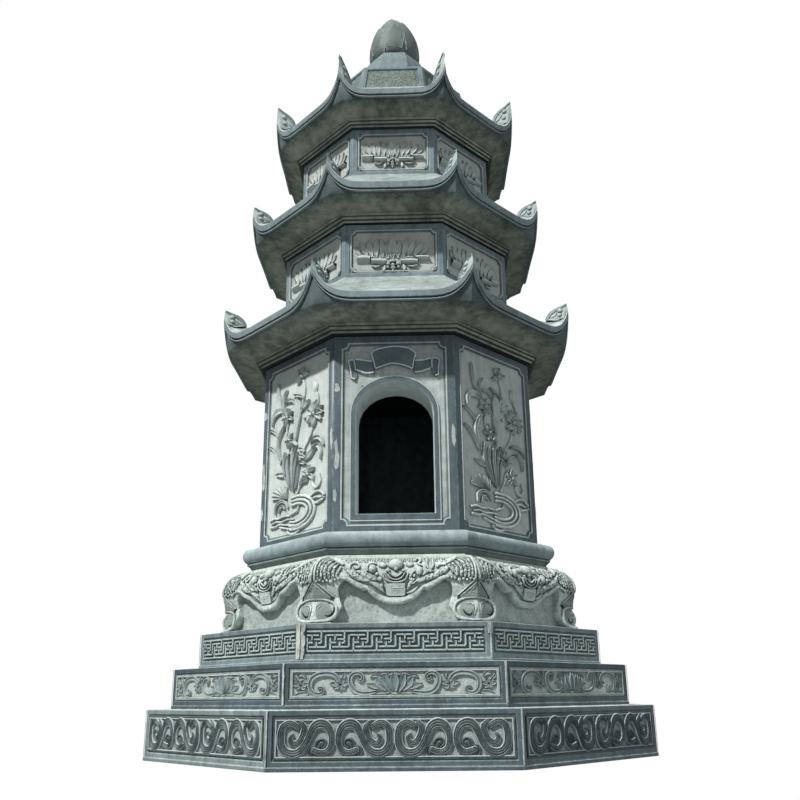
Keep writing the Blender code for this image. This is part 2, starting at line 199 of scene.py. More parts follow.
def stoneMaterial(name, look):
    material = bpy.data.materials.new(name)
    material.use_nodes = True
    tree = material.node_tree
    shader = tree.nodes["Principled BSDF"]
    grain = tree.nodes.new("ShaderNodeGroup")
    grain.node_tree = stoneGrain
    wearShadeNode = tree.nodes.new("ShaderNodeGroup")
    wearShadeNode.node_tree = stoneWearAndShade
    for label in ("Mottle", "Grain", "Pecks", "Peck Size", "Streaks"):
        grain.inputs[label].default_value = look[label]
    for label in ("Edges", "Crests", "Dust", "Soot And Shade", "Specks", "Roughness"):
        wearShadeNode.inputs[label].default_value = look[label]
    for label in ("Stone", "Chalk And Painted Light", "Grime And Shade"):
        wearShadeNode.inputs[label].default_value = (*look[label], 1.0)
    tree.links.new(grain.outputs["Tone"], wearShadeNode.inputs["Tone"])
    tree.links.new(wearShadeNode.outputs["Color"], shader.inputs["Base Color"])
    tree.links.new(wearShadeNode.outputs["Roughness"], shader.inputs["Roughness"])
    bump = tree.nodes.new("ShaderNodeBump")
    bump.inputs["Strength"].default_value = look["Bump"]
    bump.inputs["Distance"].default_value = 2 * mm
    tree.links.new(grain.outputs["Height"], bump.inputs["Height"])
    tree.links.new(bump.outputs["Normal"], shader.inputs["Normal"])
    shader.inputs["Specular IOR Level"].default_value = look["Shine"]
    material.diffuse_color = (*look["Stone"], 1.0)
    return material


plainLook = {"Stone": (0.5, 0.57, 0.56), "Chalk And Painted Light": (0.62, 0.68, 0.66), "Grime And Shade": (0.04, 0.05, 0.05),
             "Mottle": 0.35, "Grain": 0.35, "Pecks": 0.3, "Peck Size": 150.0, "Streaks": 0.15,
             "Edges": 0.6, "Crests": 0.0, "Dust": 0.15, "Soot And Shade": 0.35, "Specks": 0.08, "Roughness": 0.78,
             "Bump": 0.5, "Shine": 0.35}
slateLook = {**plainLook, "Grime And Shade": (0.02, 0.027, 0.03), "Pecks": 0.05, "Mottle": 0.8, "Grain": 0.8,
             "Edges": 1.0,
             "Dust": 0.3, "Specks": 0.4, "Roughness": 0.5, "Bump": 0.15, "Shine": 0.5}

stoneLooks = {
    "pecked_ground": {"Stone": (0.55, 0.605, 0.585), "Mottle": 0.45, "Grain": 0.6, "Streaks": 0.35},
    "honed_slate": {**slateLook, "Stone": (0.088, 0.127, 0.147), "Chalk And Painted Light": (0.40, 0.46, 0.46), "Mottle": 0.9,
                    "Streaks": 0.7, "Roughness": 0.46},
    "dark_slate": {**slateLook, "Stone": (0.060, 0.092, 0.108), "Chalk And Painted Light": (0.42, 0.48, 0.48), "Streaks": 1.0,
                   "Edges": 0.9, "Specks": 0.3, "Roughness": 0.46},
    "grey_slate": {**slateLook, "Stone": (0.155, 0.205, 0.222), "Chalk And Painted Light": (0.46, 0.53, 0.53), "Grain": 0.7,
                   "Streaks": 0.9},
    "dusty_slate": {"Stone": (0.19, 0.245, 0.25), "Chalk And Painted Light": (0.50, 0.57, 0.56), "Grime And Shade": (0.05, 0.065, 0.065),
                    "Pecks": 0.1, "Mottle": 0.9, "Grain": 0.7, "Streaks": 0.9, "Edges": 1.0, "Dust": 0.4,
                    "Specks": 0.5, "Roughness": 0.6, "Bump": 0.2},
    "ledge_dust": {"Stone": (0.58, 0.64, 0.63), "Mottle": 0.8, "Specks": 0.3},
    "mortar": {"Stone": (0.41, 0.445, 0.43), "Mottle": 1.4, "Grain": 1.4, "Streaks": 1.0, "Soot And Shade": 0.3,
               "Bump": 1.0},
    "filler": {"Stone": (0.43, 0.46, 0.44), "Mottle": 1.2, "Grain": 1.0, "Soot And Shade": 0.1, "Bump": 0.8},
    "lower_ground": {"Stone": (0.36, 0.42, 0.41), "Mottle": 0.6, "Grain": 1.0, "Pecks": 0.8, "Soot And Shade": 0.6},
    "middle_ground": {"Stone": (0.44, 0.495, 0.475), "Mottle": 0.6, "Grain": 1.0, "Pecks": 0.7, "Soot And Shade": 0.5},
    "fret_line": {"Stone": (0.34, 0.41, 0.41), "Mottle": 0.8, "Pecks": 0.1, "Edges": 0.8, "Soot And Shade": 0.2},
    "fret_ground": {"Stone": (0.125, 0.175, 0.18), "Mottle": 0.7, "Pecks": 0.4, "Specks": 0.2, "Edges": 0.3},
    "dark_carving": {"Stone": (0.038, 0.058, 0.065), "Chalk And Painted Light": (0.50, 0.58, 0.57),
                     "Grime And Shade": (0.012, 0.018, 0.02),
                     "Pecks": 0.1, "Mottle": 0.8, "Edges": 0.15, "Crests": 0.06, "Dust": 0.30, "Specks": 0.25,
                     "Roughness": 0.5, "Bump": 0.25},
    "slate_carving": {"Stone": (0.19, 0.25, 0.26), "Chalk And Painted Light": (0.50, 0.57, 0.56), "Grime And Shade": (0.02, 0.027, 0.03),
                      "Pecks": 0.1, "Mottle": 0.7, "Edges": 0.3, "Crests": 0.45, "Dust": 0.5, "Soot And Shade": 0.7,
                      "Roughness": 0.6, "Bump": 0.25},
    "pale_line": {"Stone": (0.46, 0.53, 0.53), "Mottle": 0.7, "Pecks": 0.05, "Edges": 0.3, "Soot And Shade": 0.2},
    # grey painted shade for the cove at the foot of a sunk panel
    "cove_shade_grey": {"Stone": (0.19, 0.235, 0.235), "Mottle": 0.8, "Pecks": 0.1, "Edges": 0.2, "Soot And Shade": 0.3},
    # pale stone of the doorway, brightened with painted bounce light
    "reveal_stone_bounce_lit": {"Stone": (0.62, 0.69, 0.68), "Mottle": 0.6, "Pecks": 0.1, "Soot And Shade": 0.0},
    "door_ground": {"Stone": (0.43, 0.485, 0.475), "Mottle": 0.9, "Grain": 0.8, "Streaks": 0.5},
    "leaf_carving": {"Stone": (0.57, 0.64, 0.63), "Chalk And Painted Light": (0.72, 0.78, 0.76), "Grime And Shade": (0.06, 0.07, 0.072),
                     "Mottle": 0.7, "Grain": 0.9, "Pecks": 0.1, "Edges": 0.2, "Crests": 0.6, "Soot And Shade": 0.65,
                     "Bump": 0.3},
    "blade_carving": {"Stone": (0.50, 0.57, 0.57), "Chalk And Painted Light": (0.60, 0.67, 0.67), "Grime And Shade": (0.04, 0.05, 0.052),
                      "Mottle": 0.7, "Grain": 0.9, "Pecks": 0.1, "Edges": 0.2, "Crests": 0.5, "Soot And Shade": 0.7,
                      "Bump": 0.3},
    "ribbon_line": {"Stone": (0.72, 0.78, 0.77), "Mottle": 0.8, "Grain": 0.8, "Soot And Shade": 0.0},
    "ribbon_slate": {**slateLook, "Stone": (0.135, 0.185, 0.21), "Chalk And Painted Light": (0.34, 0.41, 0.41), "Mottle": 0.9,
                     "Grain": 0.35, "Edges": 0.5, "Dust": 0.1, "Bump": 0.2, "Shine": 0.35},
    "altar_stone": {"Stone": (0.50, 0.57, 0.555), "Mottle": 0.7, "Grain": 1.2, "Pecks": 0.7,
                    "Peck Size": 60.0,
                    "Edges": 0.4, "Soot And Shade": 0.45, "Bump": 0.8},
    "altar_recess": {"Stone": (0.34, 0.39, 0.38), "Mottle": 0.9, "Grain": 1.2, "Pecks": 0.9,
                     "Peck Size": 45.0,
                     "Edges": 0.3, "Soot And Shade": 0.3, "Bump": 1.0},
    "altar_curls": {"Stone": (0.36, 0.43, 0.41), "Chalk And Painted Light": (0.62, 0.69, 0.67), "Grime And Shade": (0.02, 0.03, 0.03),
                    "Mottle": 0.6, "Grain": 1.2, "Pecks": 2.6, "Peck Size": 85.0, "Edges": 0.2, "Crests": 0.5,
                    "Soot And Shade": 0.8, "Bump": 1.6},
    "altar_carving": {"Stone": (0.39, 0.455, 0.44), "Chalk And Painted Light": (0.64, 0.71, 0.69),
                      "Grime And Shade": (0.025, 0.036, 0.036),
                      "Mottle": 0.8, "Grain": 1.3, "Pecks": 1.3, "Peck Size": 75.0, "Edges": 0.25,
                      "Crests": 0.45, "Soot And Shade": 1.0,
                      "Dust": 0.35, "Specks": 0.3, "Bump": 0.6},
    # mid-grey of the brackets, also the painted shade on the step over the apron
    "bracket_and_shade_stone": {"Stone": (0.25, 0.295, 0.28), "Mottle": 0.8, "Grain": 0.8, "Edges": 0.5, "Specks": 0.3},
    "drum_slate": {"Stone": (0.18, 0.24, 0.265), "Chalk And Painted Light": (0.50, 0.57, 0.58), "Grime And Shade": (0.03, 0.04, 0.045),
                   "Pecks": 0.05, "Mottle": 0.8, "Grain": 0.7, "Streaks": 0.8, "Edges": 0.7, "Specks": 0.4,
                   "Roughness": 0.5, "Bump": 0.15},
    "drum_ground": {"Stone": (0.47, 0.505, 0.485), "Pecks": 0.4, "Mottle": 0.6, "Grain": 0.6},
    "cap_ground": {"Stone": (0.155, 0.20, 0.18), "Pecks": 2.0, "Peck Size": 60.0, "Mottle": 0.9, "Grain": 1.4,
                   "Specks": 0.5, "Bump": 1.0},
    "branch_carving": {"Stone": (0.50, 0.555, 0.54), "Chalk And Painted Light": (0.66, 0.71, 0.69), "Grime And Shade": (0.03, 0.04, 0.04),
                       "Mottle": 0.6, "Pecks": 0.1, "Crests": 0.5, "Soot And Shade": 1.0, "Bump": 0.3},
    "roof_slate": {"Stone": (0.175, 0.23, 0.25), "Chalk And Painted Light": (0.52, 0.60, 0.60), "Grime And Shade": (0.03, 0.04, 0.045),
                   "Pecks": 0.05, "Mottle": 0.8, "Grain": 0.8, "Streaks": 0.5, "Edges": 0.8, "Dust": 0.25,
                   "Specks": 0.5, "Roughness": 0.55, "Bump": 0.2},
    # its chalk-and-painted-light tone is dark: painted shade, which grows from the cornice out to the eave
    "soffit_stone": {"Stone": (0.27, 0.29, 0.24), "Chalk And Painted Light": (0.085, 0.118, 0.125),
                     "Grime And Shade": (0.05, 0.06, 0.055),
                     "Pecks": 0.3, "Mottle": 2.0, "Grain": 0.9, "Edges": 0.0, "Crests": 0.85, "Dust": 0.0,
                     "Specks": 0.0, "Soot And Shade": 0.5, "Roughness": 0.8},
    "slope_stone": {"Stone": (0.265, 0.318, 0.306), "Mottle": 1.3, "Grain": 1.2, "Pecks": 0.4, "Dust": 0.1,
                    "Specks": 0.5},
    # the hollow under the lip: slate darkened with painted shade
    "hollow_slate_and_shade": {"Stone": (0.088, 0.122, 0.130), "Chalk And Painted Light": (0.22, 0.28, 0.29), "Grime And Shade": (0.05, 0.06, 0.06),
                     "Pecks": 0.05, "Mottle": 1.4, "Grain": 0.8, "Edges": 0.0, "Dust": 0.0, "Specks": 0.5,
                     "Soot And Shade": 0.2, "Roughness": 0.55, "Bump": 0.2},
    "fillet_stone": {"Stone": (0.23, 0.28, 0.27), "Edges": 0.3, "Mottle": 0.7, "Pecks": 0.1, "Soot And Shade": 0.0},
    # near-black painted shade for gaps, grooves, pits and cast shadows
    "painted_shade_black": {"Stone": (0.02, 0.027, 0.028), "Edges": 0.0, "Dust": 0.0, "Pecks": 0.0, "Specks": 0.0},
    "cornice_face": {"Stone": (0.37, 0.39, 0.33), "Mottle": 1.6, "Edges": 0.3, "Dust": 0.0, "Soot And Shade": 0.3},
    # painted shade for the cornice's undersides
    "cornice_under_shade": {"Stone": (0.06, 0.07, 0.06), "Mottle": 1.0, "Edges": 0.0, "Dust": 0.0, "Soot And Shade": 0.5},
    "horn_stone": {"Stone": (0.39, 0.465, 0.455), "Chalk And Painted Light": (0.64, 0.71, 0.69), "Edges": 0.5, "Crests": 0.5,
                   "Pecks": 0.05, "Soot And Shade": 0.7, "Mottle": 0.7, "Specks": 0.3, "Roughness": 0.65},
    "pale_slate": {"Stone": (0.27, 0.34, 0.365), "Edges": 0.6, "Pecks": 0.1, "Mottle": 0.9, "Grain": 0.7,
                   "Streaks": 0.5, "Dust": 0.35, "Specks": 0.4, "Roughness": 0.6, "Bump": 0.25},
    "olive_slate": {"Stone": (0.22, 0.27, 0.245), "Edges": 0.3, "Pecks": 0.1, "Mottle": 0.9,
                    "Roughness": 0.65},
    "bud_stone": {"Stone": (0.145, 0.182, 0.174), "Edges": 0.4, "Crests": 0.4, "Pecks": 0.1, "Mottle": 1.0,
                  "Streaks": 0.5, "Specks": 0.2, "Roughness": 0.6, "Bump": 0.25},
}
stones = {name: stoneMaterial(name, {**plainLook, **look}) for name, look in stoneLooks.items()}
print("finishes ready:", len(stones))


# Stage, camera and light

viewpoint = {"place": (0.117, -5.012, 0.302), "yaw": 1.23, "pitch": 16.0, "roll": -0.61,
             "lensPixels": 814.0, "shiftPixels": 64, "imagePixels": 800}
# the lamps' widths are in degrees
light = {"sunFrom": (-0.458, -0.508, 0.730), "sunPower": 4.15, "sunSize": 2.4,
         "sunColour": (1.0, 0.985, 0.95),
         "fillFrom": (0.86, -0.50, 0.08), "fillPower": 0.50, "fillSize": 80.0,
         "fillColour": (0.92, 0.98, 1.0),
         "sky": (0.92, 0.98, 1.0), "skyPower": 0.28}
floorLook = {"radius": 60.0, "colour": (0.16, 0.17, 0.17), "roughness": 0.9}


def makeCamera():
    yaw, pitch, roll = (math.radians(viewpoint[key]) for key in ("yaw", "pitch", "roll"))
    ahead = Vector((-math.sin(yaw) * math.cos(pitch), math.cos(yaw) * math.cos(pitch), math.sin(pitch)))
    level = Vector((math.cos(yaw), math.sin(yaw), 0.0))
    upright = level.cross(ahead)
    right = math.cos(roll) * level + math.sin(roll) * upright
    up = math.cos(roll) * upright - math.sin(roll) * level
    camera = bpy.data.objects.new("camera", bpy.data.cameras.new("camera"))
    scene.collection.objects.link(camera)
    turn = Matrix((right, up, -ahead)).transposed().to_4x4()
    camera.matrix_world = Matrix.Translation(viewpoint["place"]) @ turn
    camera.data.sensor_width = 36.0
    camera.data.lens = viewpoint["lensPixels"] / viewpoint["imagePixels"] * camera.data.sensor_width
    camera.data.shift_y = viewpoint["shiftPixels"] / viewpoint["imagePixels"]
    scene.camera = camera


def makeLight():
    for name in ("sun", "fill"):
        lamp = bpy.data.objects.new(name, bpy.data.lights.new(name, "SUN"))
        lamp.data.energy = light[name + "Power"]
        lamp.data.angle = math.radians(light[name + "Size"])
        lamp.data.color = light[name + "Colour"]
        lamp.rotation_euler = Vector(light[name + "From"]).to_track_quat("Z", "Y").to_euler()
        scene.collection.objects.link(lamp)
    world = bpy.data.worlds.new("studio")
    scene.world = world
    world.use_nodes = True
    tree = world.node_tree
    seen = addNode(tree, "LightPath")
    sky = (*(light["skyPower"] * part for part in light["sky"]), 1.0)
    colour = blendColour(tree, seen, sky, (1, 1, 1, 1))
    tree.links.new(colour, tree.nodes["Background"].inputs["Color"])
    scene.view_settings.view_transform = "Standard"


def makeFloor():
    bm = bmesh.new()
    bmesh.ops.create_circle(bm, cap_ends=True, segments=96, radius=floorLook["radius"])
    mesh = bpy.data.meshes.new("floor")
    bm.to_mesh(mesh)
    bm.free()
    material = bpy.data.materials.new("pale_floor")
    material.use_nodes = True
    tree = material.node_tree
    shader = tree.nodes["Principled BSDF"]
    shader.inputs["Base Color"].default_value = (*floorLook["colour"], 1.0)
    shader.inputs["Roughness"].default_value = floorLook["roughness"]
    glow = addNode(tree, "Emission", {"Color": (1.0, 1.0, 1.0, 1.0), "Strength": 1.0})
    seen = addNode(tree, "LightPath")
    both = addNode(tree, "MixShader", {0: seen, 1: shader.outputs[0], 2: glow})
    tree.links.new(both, tree.nodes["Material Output"].inputs["Surface"])
    mesh.materials.append(material)
    floor = bpy.data.objects.new("floor", mesh)
    scene.collection.objects.link(floor)


makeCamera()
makeLight()
makeFloor()
print("camera, light and floor ready")


# Carving tools

# outlines across a carved stroke: side to side from -1 to 1 and height, sunk a little at both sides
halfSections = {
    "round": [(-1, -0.2), (-0.97, 0.35), (-0.8, 0.7), (-0.45, 0.93), (0, 1)],
    "ribbed": [(-1, -0.2), (-1, 0.72), (-0.86, 0.93), (-0.66, 0.98), (-0.5, 0.78), (-0.34, 0.97), (-0.16, 1),
               (0, 0.78)],
    "grooved": [(-1, -0.2), (-1, 0.55), (-0.82, 0.9), (-0.5, 0.95), (-0.28, 0.62), (0, 0.5)],
    "leaf": [(-1, -0.2), (-0.97, 0.6), (-0.78, 0.92), (-0.4, 0.6), (0, 0.42)],
    "ridge": [(-1, -0.2), (-0.95, 0.3), (-0.5, 0.62), (0, 1)],
}
sections = {name: half + [(-across, up) for across, up in half[-2::-1]]
            for name, half in halfSections.items()}
sections["flat"] = [(-1, -0.2), (-1, 0.8), (-0.85, 1), (0.85, 1), (1, 0.8), (1, -0.2)]
sections["wedge"] = [(-1, -0.2), (-0.96, 0.5), (-0.6, 0.95), (-0.15, 1), (0.9, 0.12), (1, -0.2)]


def smoothPath(points, spacing):
    # nearly even steps on a smooth curve through the given points, widths and all
    knots = [Vector(point) for point in points]
    padded = [2 * knots[0] - knots[1], *knots, 2 * knots[-1] - knots[-2]]
    fine = []
    for before, start, end, after in zip(padded, padded[1:], padded[2:], padded[3:]):
        steps = max(1, round((end - start).xy.length / spacing))
        for step in range(steps):
            t = step / steps
            swing = (end - before) * t + (2 * before - 5 * start + 4 * end - after) * t * t
            fine.append(0.5 * (2 * start + swing + (3 * start - before - 3 * end + after) * t ** 3))
    fine.append(padded[-2])
    return fine


def reliefLayer(bm):
    return bm.verts.layers.float.get("relief") or bm.verts.layers.float.new("relief")


def bendGrid(bm, columns, rows, position, paint=None):
    # a flat grid bent to position(column, row), which gives a point and its relief, then closed
    layer = reliefLayer(bm)
    made = bmesh.ops.create_grid(bm, x_segments=columns, y_segments=rows, size=1.0)["verts"]
    if paint:
        for face in {face for vert in made for face in vert.link_faces}:
            middle = face.calc_center_median()
            face.material_index = paint(int((middle.x + 1) / 2 * columns), int((middle.y + 1) / 2 * rows))
    for vert in made:
        column = round((vert.co.x + 1) / 2 * columns)
        row = round((vert.co.y + 1) / 2 * rows)
        vert.co, vert[layer] = position(column, row)
    bmesh.ops.remove_doubles(bm, verts=made, dist=1e-6)


def paintSides(outline, pale):
    # the second finish beyond this part of the half width: all of the stroke at -1, none of it at 2
    def paint(column, row):
        ends = [outline[column % len(outline)], outline[(column + 1) % len(outline)]]
        return 1 if min(abs(end[0]) for end in ends) >= pale else 0
    return paint


def carve(bm, points, height, section="round", place=Vector, spacing=0.006, tips="round", pale=0.9):
    # a raised stroke; each given point is across, up and full width, in metres
    path = smoothPath(points, spacing)
    rows = []
    for index, point in enumerate(path):
        before, after = path[max(0, index - 1)], path[min(len(path) - 1, index + 1)]
        along = (after - before).xy.normalized()
        rows.append((point.xy, along, point[2] / 2, 1.0))
    if tips == "round":
        for end, way in ((0, -1), (-1, 1)):
            middle, along, half, _ = rows[end]
            for turn in (35, 65, 90):
                reach, narrow = math.sin(math.radians(turn)), math.cos(math.radians(turn))
                row = (middle + along * way * half * reach, along, half * narrow, max(0.0, narrow) ** 0.4)
                if way < 0:
                    rows.insert(0, row)
                else:
                    rows.append(row)
    outline = sections[section]

    def position(column, row):
        middle, along, half, rise = rows[row]
        across, up = outline[column % len(outline)]
        side = Vector((along.y, -along.x))
        flat = middle + side * across * half
        return place((flat.x, flat.y, up * height * rise)), max(0.0, up)
    bendGrid(bm, len(outline), len(rows) - 1, position, paintSides(outline, pale))


def knob(bm, across, up, size, height, place=Vector, detail=2, squash=1.0, material=0):
    layer = reliefLayer(bm)
    made = bmesh.ops.create_icosphere(bm, subdivisions=detail, radius=1.0)["verts"]
    for face in {face for vert in made for face in vert.link_faces}:
        face.material_index = material
    for vert in made:
        rise = max(-0.2, vert.co.z)
        vert[layer] = max(0.0, rise)
        vert.co = place((across + vert.co.x * size / 2, up + vert.co.y * size / 2 * squash, rise * height))


def moved(points, across=0, flip=1, size=1.0):
    return [(across + flip * point[0] * size, *(value * size for value in point[1:])) for point in points]


def inMm(points):
    return [tuple(value * mm for value in point) for point in points]


def onEachFace(name, bm, finishes, apothem, middle=0.0, sides=range(8), smooth=40):
    # the same carving on every face, each face's copy a piece of its own
    for index in sides:
        copy = bm.copy()
        copy.transform(faceMatrix(index, apothem) @ Matrix.Translation((0, middle, 0)))
        makePiece(f"{name}_{faceNames[index]}", copy, finishes, smooth=smooth)
    bm.free()


def straightBead(bm, corners, height, section="flat", place=Vector, pale=0.9):
    # a mitred bead along a closed outline of straight stretches, given anticlockwise
    count = len(corners)
    outline = sections[section]
    rows = []
    for index in range(count + 1):
        before, here, after = (Vector(corners[(index + step) % count]) for step in (-1, 0, 1))
        come, leave = (here - before).xy.normalized(), (after - here).xy.normalized()
        mitre = Vector((come.y + leave.y, -come.x - leave.x)).normalized()
        mitre /= max(0.3, mitre.dot(Vector((come.y, -come.x))))
        rows.append((here.xy, mitre, here[2] / 2))

    def position(column, row):
        middle, mitre, half = rows[row]
        across, up = outline[column % len(outline)]
        flat = middle + mitre * across * half
        return place((flat.x, flat.y, up * height)), max(0.0, up)
    bendGrid(bm, len(outline), count, position, paintSides(outline, pale))


def panelBeads(bm, beads):
    # a plain bead on a panel's edge and a pale one inside it: half width, half height, width and height
    for (half, rise, width, height), pale in zip(beads, (2, -1)):
        corners = [(-half, -rise, width), (half, -rise, width), (half, rise, width), (-half, rise, width)]
        straightBead(bm, corners, height, pale=pale)


def sunkBy(depth):
    # puts a carving's points on a ground that lies this deep
    return lambda point: Vector((point[0], point[1], point[2] - depth))


def plate(bm, outline, height, place=Vector, material=0, worn=0.0015):
    # a flat raised plate with a small slope round its given outline, in metres
    layer = reliefLayer(bm)
    verts = [bm.verts.new((across, up, 0.0)) for across, up in outline]
    edges = [bm.edges.new((verts[index - 1], vert)) for index, vert in enumerate(verts)]
    face = bmesh.ops.contextual_create(bm, geom=edges)["faces"][0]
    if face.normal.z < 0:
        face.normal_flip()
    side = bmesh.ops.extrude_face_region(bm, geom=[face])["geom"]
    top = [item for item in side if isinstance(item, bmesh.types.BMFace)][0]
    bmesh.ops.translate(bm, verts=top.verts[:], vec=(0, 0, height))
    rim = bmesh.ops.inset_region(bm, faces=[top], thickness=worn, depth=worn * 1.3)["faces"]
    made = {vert for item in [top, *rim] for vert in item.verts} | set(verts)
    made |= {vert for vert in made for edge in vert.link_edges for vert in edge.verts}
    faces = {item for vert in made for item in vert.link_faces}
    bmesh.ops.triangulate(bm, faces=[item for item in faces if len(item.verts) > 4])
    for item in {item for vert in made for item in vert.link_faces}:
        item.material_index = material
    for vert in made:
        vert[layer] = 0.0
        vert.co = place(vert.co)


# Dressed stones: CAD shapes with worn edges and the right finish on each face

def dressStone(name, finishes, paint, edge=0.003):
    bm = nodeCopy(name)
    for face in bm.faces:
        face.material_index = paint(face)
    piece = makePiece(name + "_stone", bm, finishes, [name], smooth=0)
    bevel = piece.modifiers.new("Worn edges", "BEVEL")
    bevel.width = edge
    bevel.segments = 2
    bevel.limit_method = "ANGLE"
    bevel.angle_limit = math.radians(30)
    bevel.harden_normals = False
    return piece


def sunkPaint(index, apothem, depth):
    # 1 where a face of this stone lies deeper than its frame
    turn = faceMatrix(index, apothem).inverted()

    def paint(face):
        middle = turn @ face.calc_center_median()
        level = (turn.to_3x3() @ face.normal).z > 0.97
        return 1 if level and -2 * depth < middle.z < -depth / 2 else 0
    return paint


panelDepth = {"plinth": 0.008, "wall": 0.008, "drum": 0.010}
plinth = {"lower": {"apothem": 1.329, "low": 0.018, "high": 0.253, "frame": "honed_slate",
                    "ground": "lower_ground"},
          "middle": {"apothem": 1.2126, "low": 0.271, "high": 0.459, "frame": "dark_slate",
                     "ground": "middle_ground"},
          "upper": {"apothem": 1.0888, "low": 0.477, "high": 0.646, "frame": "grey_slate",
                    "ground": "fret_ground"}}
# slabs whose frames are paler than the rest of their course
oddSlabs = {"lower_plinth_front_left": "dusty_slate", "lower_plinth_left": "dusty_slate",
            "lower_plinth_back": "dusty_slate", "middle_plinth_back_right": "dusty_slate",
            "lower_plinth_front_right": "grey_slate", "lower_plinth_back_left": "grey_slate"}


def plinthPaint(index, apothem, depth):
    # 1 for the sunk ground, 2 for the ledge on top
    sunk = sunkPaint(index, apothem, depth)
    return lambda face: 2 if face.normal.z > 0.9 and face.calc_area() > 0.02 else sunk(face)


def makePlinth():
    for course, sizes in plinth.items():
        for index, side in enumerate(faceNames):
            name = f"{course}_plinth_{side}"
            finishes = [oddSlabs.get(name, sizes["frame"]), sizes["ground"], "ledge_dust"]
            dressStone(name, finishes,
                       plinthPaint(index, sizes["apothem"], panelDepth["plinth"]))


corniceFoot = {"lower": 2.270, "middle": 3.048, "upper": 3.792}


def cornicePaint(low):
    # pale upright faces, painted shade on the undersides and a black line of painted shade where the cornice
    # meets the wall
    def paint(face):
        if face.calc_center_median().z < low:
            return 2
        return 1 if face.normal.z < -0.5 else 0
    return paint


makePlinth()
for storey, foot in corniceFoot.items():
    dressStone(storey + "_cornice", ["cornice_face", "cornice_under_shade", "painted_shade_black"],
               cornicePaint(foot), edge=0.0015)
print("stones dressed")


# Plinth carvings

lowerScrolls = {
    "units": 2, "unitLength": 0.507, "half": 0.1234, "height": 0.013,
    # one double scroll, in mm from its middle: across, up and width
    "ribbon": [(-39, 48, 26), (-60, 60, 29), (-82, 62, 31), (-104, 45, 33), (-112, 10, 36), (-108, -28, 38),
               (-90, -54, 40), (-62, -63, 41), (-30, -54, 38), (-5, -24, 33), (13, 14, 33), (30, 46, 40),
               (56, 59, 47), (85, 52, 42), (105, 24, 34), (109, -12, 30), (98, -43, 28), (73, -58, 27),
               (49, -55, 27), (30, -48, 26)],
    "curl": [(-26, 64, 24), (-10, 44, 31), (-14, 14, 34), (-27, -10, 33), (-47, -23, 30), (-65, -15, 26),
             (-70, 3, 21), (-62, 13, 16)],
    "bulb": [(38, -56, 26), (45, -34, 29), (55, -15, 29), (70, -11, 26), (78, -23, 20), (68, -33, 16)],
    "foot": [(38, -36, 18), (22, -38, 19), (13, -54, 18), (19, -70, 16)],
    "beads": [(0.5172, 0.0820, 0.0090, 0.0083), (0.5115, 0.0763, 0.0050, 0.0098)],
}


def lowerPanel():
    bm = bmesh.new()
    for unit in range(lowerScrolls["units"]):
        middle = (unit - (lowerScrolls["units"] - 1) / 2) * lowerScrolls["unitLength"]
        for flip in (1, -1):
            for stroke, section, rise in (("ribbon", "ribbed", 1.0), ("curl", "ribbed", 0.95),
                                          ("bulb", "grooved", 0.8), ("foot", "grooved", 0.75)):
                points = moved(inMm(lowerScrolls[stroke]), middle - flip * lowerScrolls["half"], flip)
                carve(bm, points, lowerScrolls["height"] * rise, section, pale=0.86)
    panelBeads(bm, lowerScrolls["beads"])
    return bm


middleScrolls = {
    "height": 0.012,
    # half of the panel, in mm from its middle: across, up and width
    "scroll": [(-252, 14, 22), (-268, 34, 25), (-292, 43, 27), (-320, 44, 27), (-350, 38, 27), (-374, 22, 26),
               (-383, -3, 25), (-377, -28, 23), (-362, -42, 21), (-342, -45, 19), (-326, -38, 17),
               (-322, -25, 15), (-331, -16, 13), (-342, -19, 12)],
    "vine": [(-90, -38, 18), (-122, -43, 23), (-155, -42, 25), (-182, -28, 26), (-198, -2, 25),
             (-200, 22, 24), (-190, 38, 21), (-172, 45, 19), (-153, 41, 17), (-143, 28, 16), (-148, 14, 14),
             (-160, 12, 13), (-166, 21, 12)],
    # whorls of leaves: across, up and size; the lobes as direction in degrees, reach and size in parts of it
    "rosettes": [(-247, -4, 1.0), (-424, -6, 0.85)],
    "lobes": [(172, 33, 30), (128, 24, 38), (70, 26, 34), (12, 30, 30), (-42, 26, 36), (-96, 24, 36),
              (-142, 26, 30)],
    "sprigs": [[(-232, 22, 12), (-228, 36, 18), (-238, 50, 6)],
               [(-404, 30, 12), (-420, 42, 22), (-438, 36, 8)],
               [(-396, -42, 16), (-424, -44, 24), (-452, -52, 6)],
               [(-440, 14, 12), (-452, 26, 14), (-456, 36, 6)]],
    "petals": [[(-52, -20, 24), (-88, -11, 34), (-122, -5, 12)],
               [(-42, -21, 30), (-66, -1, 40), (-78, 20, 22)],
               [(-20, -24, 30), (-36, 3, 40), (-42, 28, 26)]],
    "leaves": [[(-66, 38, 10), (-48, 48, 20), (-26, 42, 12)],
               [(-106, 24, 8), (-96, 33, 13), (-72, 31, 15), (-46, 22, 10)]],
    "baseLeaves": [[(-8, -33, 16), (-46, -37, 26), (-92, -42, 8)],
                   [(-16, -48, 14), (-50, -52, 20), (-90, -56, 8)]],
    "dome": [(-34, 30, 10), (-22, 42, 17), (0, 48, 20), (22, 42, 17), (34, 30, 10)],
    "heart": [(0, -22, 34), (0, 0, 48), (0, 18, 46), (0, 30, 34)],
    "beads": [(0.4694, 0.0592, 0.0085, 0.0083), (0.4640, 0.0538, 0.0048, 0.0098)],
}


